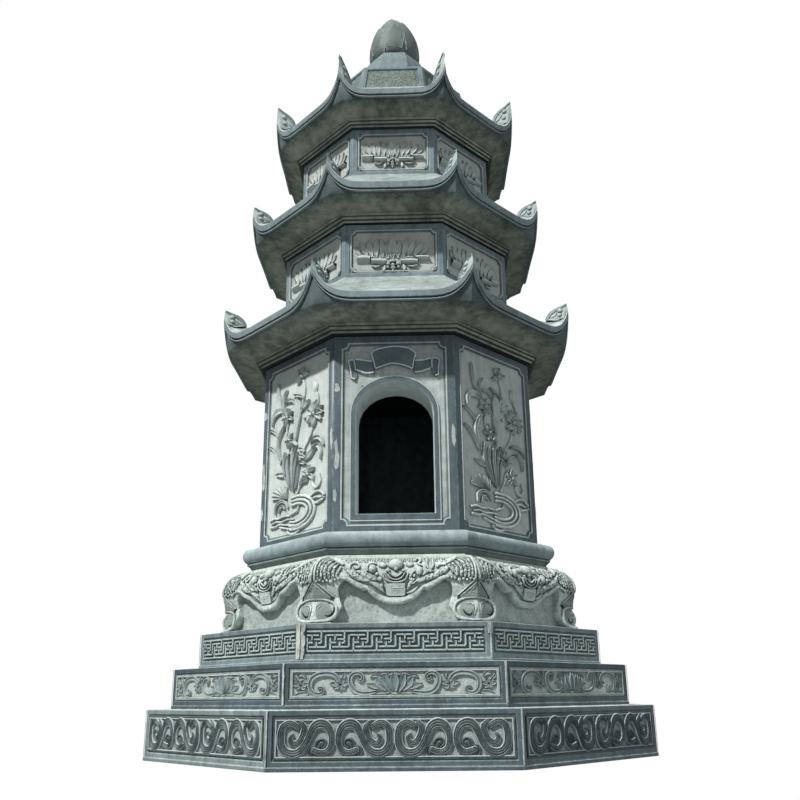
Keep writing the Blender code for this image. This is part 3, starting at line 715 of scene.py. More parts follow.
def middlePanel():
    bm = bmesh.new()
    high = middleScrolls["height"]
    for flip in (1, -1):
        def stroke(points, rise, section="leaf"):
            carve(bm, moved(inMm(points), flip=flip), high * rise, section, spacing=0.005)
        stroke(middleScrolls["scroll"], 1.0, "grooved")
        stroke(middleScrolls["vine"], 1.0, "grooved")
        for points in middleScrolls["sprigs"] + middleScrolls["leaves"] + middleScrolls["baseLeaves"]:
            stroke(points, 0.8)
        for rise, points in zip((0.8, 1.0, 1.2), middleScrolls["petals"]):
            stroke(points, rise)
        for across, up, size in middleScrolls["rosettes"]:
            for turn, reach, wide in middleScrolls["lobes"]:
                way = Vector((math.cos(math.radians(turn)), math.sin(math.radians(turn)) * 0.8)) * size
                points = [(across + way.x * part, up + way.y * part, wide * thick * size)
                          for part, thick in ((6, 0.5), (reach * 0.7, 1.0), (reach * 1.35, 0.15))]
                stroke(points, 0.85)
            # the rosette's middle is a near-black knob: painted shade of a pit
            knob(bm, flip * across * mm, up * mm, 15 * size * mm, high * 0.95, material=2)
    carve(bm, inMm(middleScrolls["dome"]), high * 0.9, "leaf", spacing=0.005)
    carve(bm, inMm(middleScrolls["heart"]), high * 1.45, "leaf", spacing=0.005)
    knob(bm, 0, -0.046, 0.040, high * 1.2, squash=0.36)
    panelBeads(bm, middleScrolls["beads"])
    return bm


fret = {"unit": 0.110, "start": -0.63, "low": -0.0455, "high": 0.0455, "half": 0.4175, "bar": 0.0075,
        "height": 0.011, "sunk": 0.3, "worn": 0.0015,
        # one repeat: stretches as across and up, in parts of the repeat and of the height
        "stretches": [((0, 1), (0, 0.41)), ((0, 0.41), (-0.09, 0.41)), ((0, 0.59), (-0.28, 0.59)),
                      ((0.197, 0.8), (0.197, 0.2)), ((0.197, 0.2), (-0.49, 0.2)), ((0.197, 0.8), (0.86, 0.8)),
                      ((-0.205, 0.2), (-0.205, 0.42)), ((0.596, 0.8), (0.596, 0.6)),
                      ((0.388, 0), (0.388, 0.62)), ((0.388, 0.42), (0.6, 0.42))]}


def fretBar(bm, start, end):
    # one flat bar of the key fret, cut off at the panel's ends and sunk by a part of its height
    half, wide = fret["half"], fret["bar"]
    low = Vector((max(-half, min(start[0], end[0]) - wide / 2), min(start[1], end[1]) - wide / 2))
    high = Vector((min(half, max(start[0], end[0]) + wide / 2), max(start[1], end[1]) + wide / 2))
    if high.x - low.x < wide / 2:
        return
    size = Matrix.Diagonal((high.x - low.x, high.y - low.y, fret["height"] * (1 + fret["sunk"]), 1))
    middle = (*((low + high) / 2), fret["height"] * (1 - fret["sunk"]) / 2)
    bmesh.ops.create_cube(bm, size=1.0, matrix=Matrix.Translation(middle) @ size)


def fretPanel():
    bm = bmesh.new()
    low, tall = fret["low"], fret["high"] - fret["low"]
    for rail in (0, 1):
        fretBar(bm, (-1, low + rail * tall), (1, low + rail * tall))
    for repeat in range(-1, 9):
        left = -fret["half"] + (repeat - fret["start"]) * fret["unit"]
        for start, end in fret["stretches"]:
            fretBar(bm, *((left + across * fret["unit"], low + up * tall) for across, up in (start, end)))
    bmesh.ops.bevel(bm, geom=bm.edges[:], affect="EDGES", offset=fret["worn"], segments=1, profile=0.5,
                    material=-1)
    return bm


def carveCourse(course, name, bm, finishes, smooth=40):
    sizes = plinth[course]
    onEachFace(name, bm, finishes, sizes["apothem"] - panelDepth["plinth"],
               (sizes["low"] + sizes["high"]) / 2, smooth=smooth)


carveCourse("lower", "lower_scrolls", lowerPanel(), ["dark_carving", "pale_line"])
carveCourse("middle", "middle_scrolls", middlePanel(), ["slate_carving", "pale_line", "painted_shade_black"])
carveCourse("upper", "key_fret", fretPanel(), ["fret_line"], smooth=0)


joints = {
    "rise": 0.0022, "smearRise": 0.0012, "steps": 16,
    # mortar squeezed out along the foot of each course: corner radius of the stone above, height and rise
    "rings": [(1.319, 0.2531, 0.002), (1.185, 0.4591, 0.0025), (1.0632, 0.6462, 0.002)],
    # upright joints at the corners: corner radius, lowest and highest point, and width
    "corners": [(1.4423, 0.020, 0.251, 0.007), (1.3175, 0.273, 0.457, 0.009), (1.1835, 0.479, 0.644, 0.007)],
    # joints that were smeared wide: corner, lowest and highest point, and width
    "smears": [(7, 0.479, 0.644, 0.044), (0, 0.590, 0.644, 0.026), (3, 0.479, 0.600, 0.036),
               (5, 0.520, 0.644, 0.030)],
}


def jointStrip(bm, corner, radius, low, high, width, height):
    # a ragged strip of mortar folded round one corner
    turn = Matrix.Rotation(2 * halfTurn * (corner + 0.5), 4, "Z")
    path = []
    for step in range(joints["steps"] + 1):
        level = low + (high - low) * step / joints["steps"]
        ragged = noise.noise(Vector((corner * 3.1, level * 40, radius)))
        path.append((0.1 * width * ragged, level, width * (1 + 0.35 * ragged)))

    def onCorner(point):
        back = abs(point[0]) * math.tan(halfTurn)
        return turn @ Vector((point[0], -(radius + point[2] - back), point[1]))
    carve(bm, path, height, "flat", onCorner, 0.02, tips="flat")


def makeJoints():
    bm = bmesh.new()
    for radius, height, rise in joints["rings"]:
        inner = radius - 0.004
        turnedOctagon(bm, [(inner, height), (radius + 0.004, height), (radius + 0.002, height + rise),
                           (inner, height + rise)])
    for radius, low, high, width in joints["corners"]:
        for corner in range(8):
            jointStrip(bm, corner, radius, low, high, width, joints["rise"])
    rise = joints["smearRise"]
    for corner, low, high, width in joints["smears"]:
        jointStrip(bm, corner, joints["corners"][2][0] + rise, low, high, width, rise)
    makePiece("joints", bm, ["mortar", "mortar"], smooth=0)


# Sill, roofs, horns and top

def turnedOctagon(bm, profile, materialOf=None):
    # a profile of corner radius and height, spun in eight flat steps
    verts = [bm.verts.new((radius * math.cos(-halfTurn), radius * math.sin(-halfTurn), height))
             for radius, height in profile]
    edges = [bm.edges.new(pair) for pair in zip(verts, verts[1:])]
    bmesh.ops.spin(bm, geom=verts + edges, cent=(0, 0, 0), axis=(0, 0, 1), angle=2 * math.pi, steps=8,
                   use_merge=True)
    bmesh.ops.remove_doubles(bm, verts=bm.verts, dist=1e-5)
    if materialOf:
        for face in bm.faces:
            face.material_index = materialOf(face.calc_center_median().z)
    closeEnds(bm)
    return bm


def arcPoints(middle, reach, start, end, steps):
    # part of an ellipse as radius and height, angles in degrees from straight out
    angles = [math.radians(start + (end - start) * step / steps) for step in range(steps + 1)]
    return [(middle[0] + reach[0] * math.cos(angle), middle[1] + reach[1] * math.sin(angle))
            for angle in angles]


sill = {"top": 1.137, "foot": 1.0103, "inner": 0.80, "rim": 0.885,
        "torus": (0.925, 1.090), "torusReach": (0.045, 0.044), "torusArc": (80, -62, 12), "torusFoot": 0.036,
        "groove": (0.926, 1.0445), "fillet": (0.944, 1.037), "filletHeight": 0.009, "band": 0.930,
        "toe": 0.915}


def makeSill():
    profile = [(sill["inner"], sill["top"]), (sill["rim"], sill["top"])]
    profile += arcPoints(sill["torus"], sill["torusReach"], *sill["torusArc"])
    grooveOut, grooveUp = sill["groove"]
    filletOut, filletUp = sill["fillet"]
    profile += [(grooveOut, grooveUp + 0.004), (grooveOut, grooveUp + 0.001)]
    profile += [(filletOut - 0.003, grooveUp), (filletOut, filletUp + sill["filletHeight"] / 2)]
    profile += [(filletOut - 0.003, filletUp), (sill["band"], filletUp - 0.001), (sill["toe"], sill["foot"])]

    def materialOf(height):
        if height < filletUp:
            return 1
        return 2 if height < sill["torus"][1] - sill["torusFoot"] else 0
    bm = turnedOctagon(bmesh.new(), profile, materialOf)
    makePiece("sill_moulding_stone", bm, ["pale_slate", "olive_slate", "pale_slate"],
              ["sill_moulding"], smooth=30)


roofs = {
    "lower": {"cornice": 0.937, "under": 2.320, "eave": 1.057, "lip": 2.357, "band": 2.415, "lift": 0.161,
              "tip": 0.095, "top": 2.6837, "seat": 0.765},
    "middle": {"cornice": 0.803, "under": 3.098, "eave": 0.919, "lip": 3.130, "band": 3.193, "lift": 0.143,
               "tip": 0.108, "top": 3.4447, "seat": 0.668},
    "upper": {"cornice": 0.714, "under": 3.838, "eave": 0.796, "lip": 3.886, "band": 3.945, "lift": 0.147,
              "tip": 0.162, "top": 4.1647, "seat": 0.585},
}
eave = {"flareStart": 0.35, "flarePower": 3.7, "spread": 0.005, "columns": 30, "slopeSteps": 8,
        "slopeSag": 1.12, "slopeFlatten": 4.0, "hipSag": 0.014,
        # how much closer the columns stand towards the corners, and where the grooves beside the horns start
        "crowd": 0.45, "hornShare": 0.62,
        # level soffit, then the hollow face up to the lifted lip: inwards, up from the lip, share of the lift
        "hollow": [(0.027, -0.0045, 0.0), (0.026, -0.004, 0.02), (0.0235, -0.003, 0.16),
                   (0.021, -0.002, 0.36), (0.019, -0.001, 0.60), (0.0175, -0.0005, 0.84)],
        # the moulded edge from the lip up to the slope: inwards, up from the lip, and finish
        # finish 3 paints the groove under the band near-black as painted shade
        "edge": [(0.017, 0.0, 5), (0.015, -0.0015, 2), (0.006, -0.0015, 2), (0.004, 0.001, 2),
                 (0.004, 0.0065, 2), (0.006, 0.0075, 3), (0.017, 0.0085, 3), (0.017, 0.0145, 3),
                 (0.003, 0.016, 0), (0.0, 0.0195, 0)]}


def roofRows(roof):
    # rings of the roof from under the cornice out to the eave and up to the seat:
    # apothem, height, share of the corner lift, and finish
    rows = [(roof["cornice"] * toFace + 0.003, roof["under"], 0.0, 1)]
    rows.append(((rows[0][0] + roof["eave"] - 0.027) / 2, (roof["under"] + roof["lip"]) / 2, 0.0, 1))
    for inwards, up, share in eave["hollow"]:
        rows.append((roof["eave"] - inwards, roof["lip"] + up, share, 1 if share == 0 else 5))
    for inwards, up, finish in eave["edge"]:
        rows.append((roof["eave"] - inwards, roof["lip"] + up, 1.0, finish))
    rise = roof["band"] - roof["lip"]
    rows += [(roof["eave"], roof["lip"] + rise * 0.6, 1.0, 0),
             (roof["eave"] - 0.001, roof["band"] - 0.004, 1.0, 0),
             (roof["eave"] - 0.005, roof["band"], 0.995, 4)]
    for inwards in (0.010, 0.019):
        rows += [(roof["eave"] - inwards, roof["band"] + 0.001, 0.97 - 6 * inwards, 4),
                 (roof["eave"] - inwards - 0.002, roof["band"] - 0.002, 0.955 - 6 * inwards, 6),
                 (roof["eave"] - inwards - 0.005, roof["band"] - 0.001, 0.935 - 6 * inwards, 6)]
    seat = roof["seat"] * toFace + 0.008
    for step in range(1, eave["slopeSteps"] + 1):
        part = 0.09 + 0.91 * (step - 0.5) / (eave["slopeSteps"] - 0.5)
        height = roof["band"] + (roof["top"] - roof["band"]) * part ** eave["slopeSag"]
        apothem = roof["eave"] + (seat - roof["eave"]) * part
        rows.append((apothem, height, (1 - part) ** eave["slopeFlatten"], 4))
    return rows


def eaveLift(part, roof):
    past = max(0.0, abs(part) - eave["flareStart"]) / (1 - eave["flareStart"])
    return roof["lift"] * past ** eave["flarePower"]


def makeRoof(storey, roof):
    rows = roofRows(roof)
    columns = eave["columns"]

    def position(column, row):
        side, step = divmod(column % (8 * columns), columns)
        even = -1 + 2 * step / columns
        part = (1 + eave["crowd"]) * even - eave["crowd"] * even ** 3
        apothem, height, share, finish = rows[row]
        apothem += eave["spread"] * share * part * part
        height += share * eaveLift(part, roof)
        if row < 2:
            height -= eave["hipSag"] * part ** 8
        here = faceMatrix(side, apothem) @ Vector((part * apothem * toSide, height, 0))
        # on the soffit and hollow this relief value is the mask for painted shade towards the eave
        return here, 1.0 if row > 1 and finish in (1, 2, 5) else 0.6 * row

    def paint(column, row):
        # carved stone and painted shade in the grooves only beside the horns
        finish = rows[min(row + 1, len(rows) - 1)][3]
        nearHorn = abs(-1 + 2 * (column % columns + 0.5) / columns) > eave["hornShare"]
        if finish == 6:
            return 3 if nearHorn else 4
        return 6 if finish == 4 and nearHorn and row < len(rows) - eave["slopeSteps"] else finish
    bm = bmesh.new()
    bendGrid(bm, 8 * columns, len(rows) - 1, position, paint)
    closeEnds(bm)
    finishes = ["roof_slate", "soffit_stone", "fillet_stone", "painted_shade_black", "slope_stone", "hollow_slate_and_shade",
                "horn_stone"]
    makePiece(storey + "_roof_stone", bm, finishes, [storey + "_roof"], smooth=32)


horn = {"length": 0.140, "thickness": 0.052, "tipShare": 0.10, "rows": 18, "ridge": 0.020, "low": -0.10,
        "seat": 0.012,
        # outer and inner edges: height in parts of the tip, and distance inwards in parts of the length
        "outer": [(-0.1, 0.035), (0.0, 0.012), (0.4, 0.0), (0.62, 0.01), (1.0, 0.04)],
        "inner": [(-0.1, 1.0), (0.05, 1.0), (0.45, 0.84), (0.70, 0.62), (0.82, 0.36), (0.97, 0.12),
                  (1.0, 0.05)],
        # carving on both sides: inwards in parts of the length, up in parts of the tip, and width
        "relief": 0.006,
        "rim": [(0.92, 0.04, 0.020), (0.76, 0.42, 0.022), (0.53, 0.64, 0.021), (0.30, 0.77, 0.016),
                (0.10, 0.93, 0.008)],
        "comma": [(0.50, 0.36, 0.010), (0.60, 0.20, 0.014), (0.74, 0.10, 0.008)],
        "leaf": [(0.36, -0.20, 0.010), (0.62, -0.06, 0.022), (0.92, -0.02, 0.006)],
        # the same for the knobs, and their heights
        "knobs": [(0.34, 0.52, 0.034, 0.013), (0.36, 0.18, 0.030, 0.012)]}


def between(table, value):
    # straight interpolation in a list of place and amount
    for (low, first), (high, second) in zip(table, table[1:]):
        if value <= high:
            return first + (second - first) * max(0.0, value - low) / (high - low)
    return table[-1][1]


def makeHorns(storey, roof):
    # a leaf-shaped fin with a ridged outer edge stands on each corner in its diagonal plane
    corner = (roof["eave"] + eave["spread"]) / toFace
    base = roof["lip"] + roof["lift"] + horn["seat"]
    bm = bmesh.new()
    rows, long, tall = horn["rows"], horn["length"], roof["tip"]

    def halfThick(height):
        return horn["thickness"] / 2 * (1 - (1 - horn["tipShare"]) * max(0.0, min(1.0, height)))

    def position(column, row):
        height = horn["low"] + (1 - horn["low"]) * (row / rows) ** 0.85
        near, far = between(horn["outer"], height) * long, between(horn["inner"], height) * long
        thick = halfThick(height)
        ridge = min(horn["ridge"], (far - near) * 0.45)
        inwards, across = [(near, 0), (near + ridge, 0.92), (far - ridge * 0.5, 1), (far, 0.45), (far, -0.45),
                           (far - ridge * 0.5, -1), (near + ridge, -0.92)][column % 7]
        return Vector((corner - inwards, across * thick, base + height * tall)), 0.0
    bendGrid(bm, 7, rows, position)
    closeEnds(bm)
    for side in (1, -1):
        def onSide(point, side=side):
            inwards, up, out = point
            thick = halfThick(up / tall)
            return Vector((corner - inwards, side * (thick + out - 0.001), base + up))

        def stroke(key, section, spacing, tips="round", pale=0.9):
            points = [(long * inwards, tall * up, width) for inwards, up, width in horn[key]]
            carve(bm, points, horn["relief"], section, onSide, spacing, tips, pale)
        stroke("rim", "flat", 0.012, pale=-1)
        for inwards, up, size, height in horn["knobs"]:
            knob(bm, long * inwards, tall * up, size, height, onSide)
        stroke("comma", "round", 0.008)
        stroke("leaf", "leaf", 0.01, "point")
    bm.transform(Matrix.Rotation(-halfTurn * 5, 4, "Z"))
    bmesh.ops.spin(bm, geom=bm.verts[:] + bm.edges[:] + bm.faces[:], cent=(0, 0, 0), axis=(0, 0, 1),
                   angle=2 * halfTurn * 7, steps=7, use_duplicate=True)
    makePiece(storey + "_horns", bm, ["horn_stone", "roof_slate"], smooth=35)


# corner radius and height
neckProfile = [(0.190, 4.785), (0.201, 4.772), (0.212, 4.75), (0.227, 4.715), (0.243, 4.665), (0.257, 4.61),
               (0.271, 4.555), (0.285, 4.505), (0.299, 4.455), (0.308, 4.428), (0.312, 4.418), (0.309, 4.412),
               (0.303, 4.406), (0.296, 4.4003)]


def makeNeck():
    bm = turnedOctagon(bmesh.new(), neckProfile)
    makePiece("neck_stone", bm, ["roof_slate"], ["neck"], smooth=30)


bud = {
    # radius and height
    "outline": [(0.118, 4.7853), (0.150, 4.794), (0.170, 4.822), (0.178, 4.87), (0.175, 4.93), (0.162, 4.99),
                (0.140, 5.05), (0.110, 5.11), (0.076, 5.165), (0.040, 5.208), (0.012, 5.232), (0.002, 5.238)],
    "columns": 40, "petalColumns": 16, "petalRows": 18, "thickness": 0.006,
    # first direction, lowest and highest point, half width in degrees, how far it stands off, and its lip
    "rings": [{"start": 25, "low": 4.797, "high": 5.10, "half": 47, "off": 0.0045, "curl": 0.016},
              {"start": 70, "low": 4.84, "high": 5.20, "half": 46, "off": 0.0015, "curl": 0.004}],
}


def budRadius(height):
    return between([(up, out) for out, up in bud["outline"]], height)


def makeBud():
    bm = bmesh.new()
    columns, rows = bud["columns"], len(bud["outline"]) - 1

    def position(column, row):
        radius, height = bud["outline"][row]
        angle = 2 * math.pi * (column % columns) / columns
        return Vector((radius * math.cos(angle), radius * math.sin(angle), height)), 0.0
    bendGrid(bm, columns, rows, position)
    closeEnds(bm)
    for ring in bud["rings"]:
        for petal in range(4):
            addPetal(bm, ring, math.radians(ring["start"] + 90 * petal - 90))
    makePiece("lotus_bud_stone", bm, ["bud_stone"], ["lotus_bud"], smooth=50)


def addPetal(bm, ring, middle):
    # a pointed petal hugging the bud, with a lip that turns out near the tip
    wide, tall = bud["petalColumns"], bud["petalRows"]
    made = bmesh.ops.create_grid(bm, x_segments=wide, y_segments=tall, size=1.0)["verts"]
    faces = list({face for vert in made for face in vert.link_faces})
    layer = reliefLayer(bm)
    for vert in made:
        across, up = vert.co.x, (vert.co.y + 1) / 2
        half = math.radians(ring["half"]) * min(1.0, 0.86 + 0.5 * up) * (1 - up ** 3.2) ** 0.62
        height = ring["low"] + (ring["high"] - ring["low"]) * up - 0.012 * across ** 2 * (1 - up)
        edge = max(0.0, abs(across) - 0.8) / 0.2
        out = ring["off"] + ring["curl"] * up ** 3 * (1 - 0.3 * across ** 2) + 0.004 * edge * edge
        out += 0.004 * math.sin(math.pi * up) * (1 - across ** 2)
        radius = budRadius(height) + out
        angle = middle + across * half
        vert.co = (radius * math.cos(angle), radius * math.sin(angle), height)
        vert[layer] = edge
    bmesh.ops.remove_doubles(bm, verts=made, dist=1e-5)
    faces = [face for face in faces if face.is_valid]
    bmesh.ops.recalc_face_normals(bm, faces=faces)
    bmesh.ops.solidify(bm, geom=faces, thickness=bud["thickness"])


makeJoints()
print("plinth carved")
makeSill()
for storey, roof in roofs.items():
    makeRoof(storey, roof)
    makeHorns(storey, roof)
makeNeck()
makeBud()
print("roofs and top ready")


# Walls

wall = {"apothem": 0.8084, "middle": 1.695, "half": 0.285, "rise": 0.517, "notch": 0.034,
        "bead": 0.0090, "cove": 0.012, "relief": 0.019}


def notchedOutline(half, rise, notch, inset, width, steps=5):
    # a panel outline with hollow quarter-round corners, set in from its edge, anticlockwise
    points = []
    reach = notch + inset
    start = math.asin(min(1.0, inset / reach))
    for corner, (acrossSign, upSign) in enumerate(((1, -1), (1, 1), (-1, 1), (-1, -1))):
        base = math.pi / 2 * (corner + 2)
        for step in range(steps + 1):
            turn = base - start - (math.pi / 2 - 2 * start) * step / steps
            across, up = acrossSign * half + reach * math.cos(turn), upSign * rise + reach * math.sin(turn)
            points.append((across, up, width))
    return points


def frameBeads(bm, half, rise, notch, depth, bead, cove):
    # a pale bead on the frame's edge and a grey strip of painted shade for the cove at the foot of the sunk
    # panel
    edge = notchedOutline(half, rise, notch, -bead * 0.4, bead)
    straightBead(bm, edge, 0.0030, "round", pale=2)
    foot = notchedOutline(half, rise, notch, cove * 0.5, cove)
    straightBead(bm, foot, 0.0015, place=sunkBy(depth), pale=-1)


plant = {
    # strokes of the water plant, in mm from the panel's middle: across, up and full width
    "stems": [
        [(50, 385, 14), (67, 345, 15), (67, 300, 14), (54, 255, 14), (42, 200, 14)],
        [(172, 283, 13), (191, 250, 13), (193, 210, 13), (178, 175, 12)],
        [(150, 90, 16), (136, 45, 16), (112, 5, 14), (80, -30, 14), (60, -70, 12)],
        [(-86, 150, 12), (-95, 110, 12), (-80, 60, 12), (-60, 20, 12)],
        [(100, -150, 12), (70, -185, 14), (50, -235, 13), (20, -285, 12)],
    ],
    "blades": [
        [(-197, 437, 6), (-191, 385, 18), (-177, 325, 24), (-152, 270, 22), (-132, 232, 12)],
        [(-100, 367, 6), (-121, 340, 20), (-131, 300, 24), (-128, 260, 18), (-112, 220, 10)],
        [(-108, 222, 12), (-150, 249, 34), (-200, 250, 46), (-234, 218, 32), (-240, 172, 8)],
        [(-40, 322, 6), (0, 306, 20), (42, 290, 18), (64, 272, 8)],
        [(-118, 292, 8), (-84, 297, 24), (-44, 288, 20), (-26, 262, 10)],
        [(46, 205, 14), (78, 228, 42), (116, 248, 8)],
        [(-76, 168, 12), (-130, 132, 22), (-166, 84, 26), (-176, 26, 24), (-152, -50, 12)],
        [(-274, 156, 6), (-240, 146, 16), (-200, 122, 20), (-168, 86, 12)],
        [(-270, 54, 6), (-232, 34, 18), (-192, -2, 24), (-150, -60, 26), (-142, -74, 10)],
        [(-104, -18, 6), (-110, -56, 22), (-112, -115, 24), (-86, -178, 18), (-50, -240, 12)],
        [(-60, -36, 8), (-76, -75, 24), (-78, -126, 22), (-62, -186, 17), (-40, -250, 12)],
        [(-6, -8, 10), (-26, -45, 30), (-32, -105, 26), (-28, -178, 20), (-24, -262, 14)],
        [(14, -40, 8), (2, -95, 20), (-6, -150, 18), (-10, -210, 15), (-14, -270, 12)],
        [(46, -96, 8), (28, -136, 17), (16, -190, 15), (4, -256, 12)],
        [(28, -26, 8), (58, -34, 22), (84, -56, 8)],
        [(32, -66, 8), (64, -78, 24), (92, -94, 6)],
        [(32, -104, 8), (64, -116, 20), (86, -128, 6)],
        [(82, -104, 10), (130, -80, 38), (188, -42, 8)],
        [(124, -6, 12), (174, 6, 26), (222, -6, 28), (254, -54, 8)],
        [(146, -52, 10), (196, -42, 26), (226, -74, 28), (230, -132, 8)],
        [(-84, -158, 8), (-132, -148, 32), (-194, -136, 6)],
        [(46, -244, 8), (76, -214, 30), (106, -196, 8)],
    ],
    "broad": [(-6, 274, 30), (8, 238, 68), (8, 176, 64), (0, 112, 46), (-6, 44, 26)],
    # flowers: across, up, reach and the directions of the petals in degrees
    "flowers": [(-88, 192, 56, (80, 140, 185, 250, 330, 25)),
                (166, 152, 78, (20, 70, 110, 150, 215, 260, 320, 350)),
                (-58, 45, 52, (40, 110, 180, 250, 320)), (122, -196, 58, (30, 90, 150, 215, 320)),
                (42, 412, 58, (12, 80, 120, 200))],
    "buds": [[(172, 282, 16), (166, 316, 44), (158, 354, 8)], [(-36, 8, 20), (-20, 22, 30), (2, 4, 20)]],
    "fan": {"root": (-78, -296), "tips": [(-214, -272), (-204, -248), (-178, -232), (-146, -226),
                                          (-112, -230), (-84, -242)],
            "width": 27},
    "shell": [[(-184, -372, 10), (-176, -326, 18), (-130, -306, 20), (-88, -320, 16), (-64, -352, 10)],
              [(-150, -372, 8), (-140, -346, 15), (-112, -338, 15), (-92, -356, 8)]],
    # rings on the water: reach across, reach up, width and the angles where each starts and ends
    "rings": {"middle": (12, -396), "sizes": [(170, 94, 20, 104, -106), (138, 73, 19, 106, -112),
                                              (105, 52, 18, 112, -120)]},
    "swirl": [(-34, -402, 10), (-6, -392, 16), (26, -384, 15), (38, -362, 9)],
    "waves": [[(-232, -408, 15), (-190, -400, 16), (-150, -406, 15), (-100, -399, 14), (-50, -405, 12)],
              [(-214, -428, 15), (-170, -421, 15), (-120, -429, 14), (-60, -423, 12), (-10, -430, 10)],
              [(-226, -447, 15), (-180, -448, 16), (-140, -440, 15), (-90, -450, 14), (-44, -458, 13),
               (0, -462, 10)],
              [(-132, -458, 14), (-84, -470, 15), (-40, -480, 14), (20, -478, 12), (90, -470, 8)],
              [(-62, -494, 13), (-40, -508, 18), (0, -514, 20), (46, -502, 13)],
              [(148, -324, 13), (190, -308, 18), (230, -311, 18), (262, -336, 14)],
              [(150, -345, 12), (190, -337, 16), (236, -345, 15)],
              [(166, -366, 12), (206, -370, 18), (246, -358, 14)],
              [(170, -214, 10), (158, -252, 18), (190, -284, 22), (224, -258, 18), (214, -212, 10)]],
    "drops": [(-230, -408, 20), (-226, -447, 20), (-60, -494, 20), (258, -334, 20), (262, -352, 16),
              (248, -362, 18), (-122, 228, 20), (-118, 200, 18), (70, 150, 20), (108, 116, 22)],
}


def plantPanel():
    bm = bmesh.new()
    high = wall["relief"]

    def stroke(points, rise=1.0, section="round", tips="round", pale=2):
        carve(bm, inMm(points), high * rise, section, tips=tips, spacing=0.008, pale=pale)
    for points in plant["waves"]:
        stroke(points, 0.8)
    middle = plant["rings"]["middle"]
    for across, up, width, start, end in plant["rings"]["sizes"]:
        turns = [math.radians(start + (end - start) * step / 9) for step in range(10)]
        ring = [(middle[0] + across * math.cos(turn), middle[1] + up * math.sin(turn), width)
                for turn in turns]
        stroke(ring, 0.85)
    stroke(plant["swirl"], 0.8)
    for points in plant["stems"]:
        stroke(points, 0.7)
    for points in plant["blades"]:
        low = min(up for across, up, width in points)
        stroke(points, 1.0, "leaf", "point", -1 if low < -170 and points[0][0] > -110 else 2)
    stroke(plant["broad"], 1.05, "leaf", pale=-1)
    for points in plant["buds"]:
        stroke(points, 1.3, "ridge")
    for points in plant["shell"]:
        stroke(points, 0.9, "grooved")
    fan = plant["fan"]
    for across, up in fan["tips"]:
        near = (fan["root"][0] * 0.5 + across * 0.5, fan["root"][1] * 0.5 + up * 0.5, fan["width"] * 0.62)
        stroke([(*fan["root"], 9), near, (across, up, fan["width"])], 0.9, "leaf")
    for across, up, reach, directions in plant["flowers"]:
        for direction in directions:
            turn = math.radians(direction)
            along = Vector((math.cos(turn), math.sin(turn)))
            side = Vector((-along.y, along.x)) * reach * 0.10
            near, far = along * reach * 0.5 + side, along * reach
            stroke([(across + along.x * 8, up + along.y * 8, reach * 0.2),
                    (across + near.x, up + near.y, reach * 0.5),
                    (across + far.x, up + far.y, reach * 0.12)], 1.15, "leaf", "point")
        knob(bm, across * mm, up * mm, reach * 0.42 * mm, high * 1.35)
    for across, up, size in plant["drops"]:
        knob(bm, across * mm, up * mm, size * mm, high * 0.9)
    return bm


banner = {
    "height": 0.006, "line": 0.0062, "lineRise": 0.0155, "pitRise": 0.0012,
    # plates of the bare ribbon, in mm: across and height above the ground
    "plates": {
        "middle": [(-130, 2155), (-118, 2108), (-108, 2056), (-62, 2073), (-30, 2084), (0, 2086), (40, 2079),
                   (76, 2066), (106, 2052), (113, 2108), (125, 2146), (108, 2167), (80, 2184), (40, 2193),
                   (-10, 2196), (-60, 2188), (-104, 2176)],
        "left": [(-222, 2122), (-212, 2056), (-190, 2044), (-152, 2031), (-108, 2036), (-110, 2050),
                 (-121, 2107), (-150, 2113), (-190, 2120)],
        "leftEnd": [(-258, 2110), (-246, 2034), (-240, 2004), (-214, 1998), (-203, 2026), (-214, 2050),
                    (-225, 2116)],
        "right": [(212, 2122), (206, 2058), (176, 2045), (150, 2036), (110, 2030), (108, 2050), (116, 2107),
                  (160, 2112), (200, 2120)],
        "rightEnd": [(256, 2112), (250, 2060), (248, 2018), (228, 2010), (208, 2036), (209, 2060),
                     (215, 2119)],
    },
    "lifts": {"middle": 1.6, "left": 1.0, "leftEnd": 1.3, "right": 1.0, "rightEnd": 1.3},
    "lines": [[(-128, 2150), (-104, 2172), (-60, 2184), (-10, 2192), (40, 2189), (80, 2180), (107, 2163),
               (122, 2145)],
              [(-104, 2061), (-62, 2077), (-30, 2088), (0, 2090), (40, 2083), (76, 2070), (102, 2057)],
              [(-126, 2150), (-115, 2108), (-105, 2064)], [(121, 2142), (110, 2108), (103, 2060)],
              [(-218, 2118), (-190, 2116), (-150, 2109), (-124, 2105)],
              [(-208, 2056), (-186, 2046), (-150, 2035), (-114, 2040)],
              [(119, 2105), (160, 2108), (207, 2118)], [(114, 2035), (150, 2040), (176, 2049), (203, 2058)],
              [(-254, 2108), (-240, 2036), (-236, 2008), (-216, 2002)],
              [(-254, 2110), (-226, 2114), (-214, 2052)],
              [(252, 2108), (246, 2060), (244, 2020), (228, 2014)], [(253, 2110), (214, 2118), (210, 2060)]],
    "pits": [(-258, 2178, 18), (-262, 2152, 12), (-238, 2160, 10), (226, 2176, 12), (-130, 1990, 12),
             (-178, 1962, 16), (160, 1952, 9), (-240, 1780, 9), (238, 1620, 10)],
}


def bannerPiece():
    bm = bmesh.new()
    for key, outline in banner["plates"].items():
        points = [(across * mm, up * mm - wall["middle"]) for across, up in outline]
        plate(bm, points, banner["height"] * banner["lifts"][key])
    for points in banner["lines"]:
        line = [(across * mm, up * mm - wall["middle"], banner["line"]) for across, up in points]
        carve(bm, line, banner["lineRise"], "flat", spacing=0.012, tips="flat", pale=-1)
    for across, up, size in banner["pits"]:
        knob(bm, across * mm, up * mm - wall["middle"], size * mm, banner["pitRise"], detail=1)
    return bm


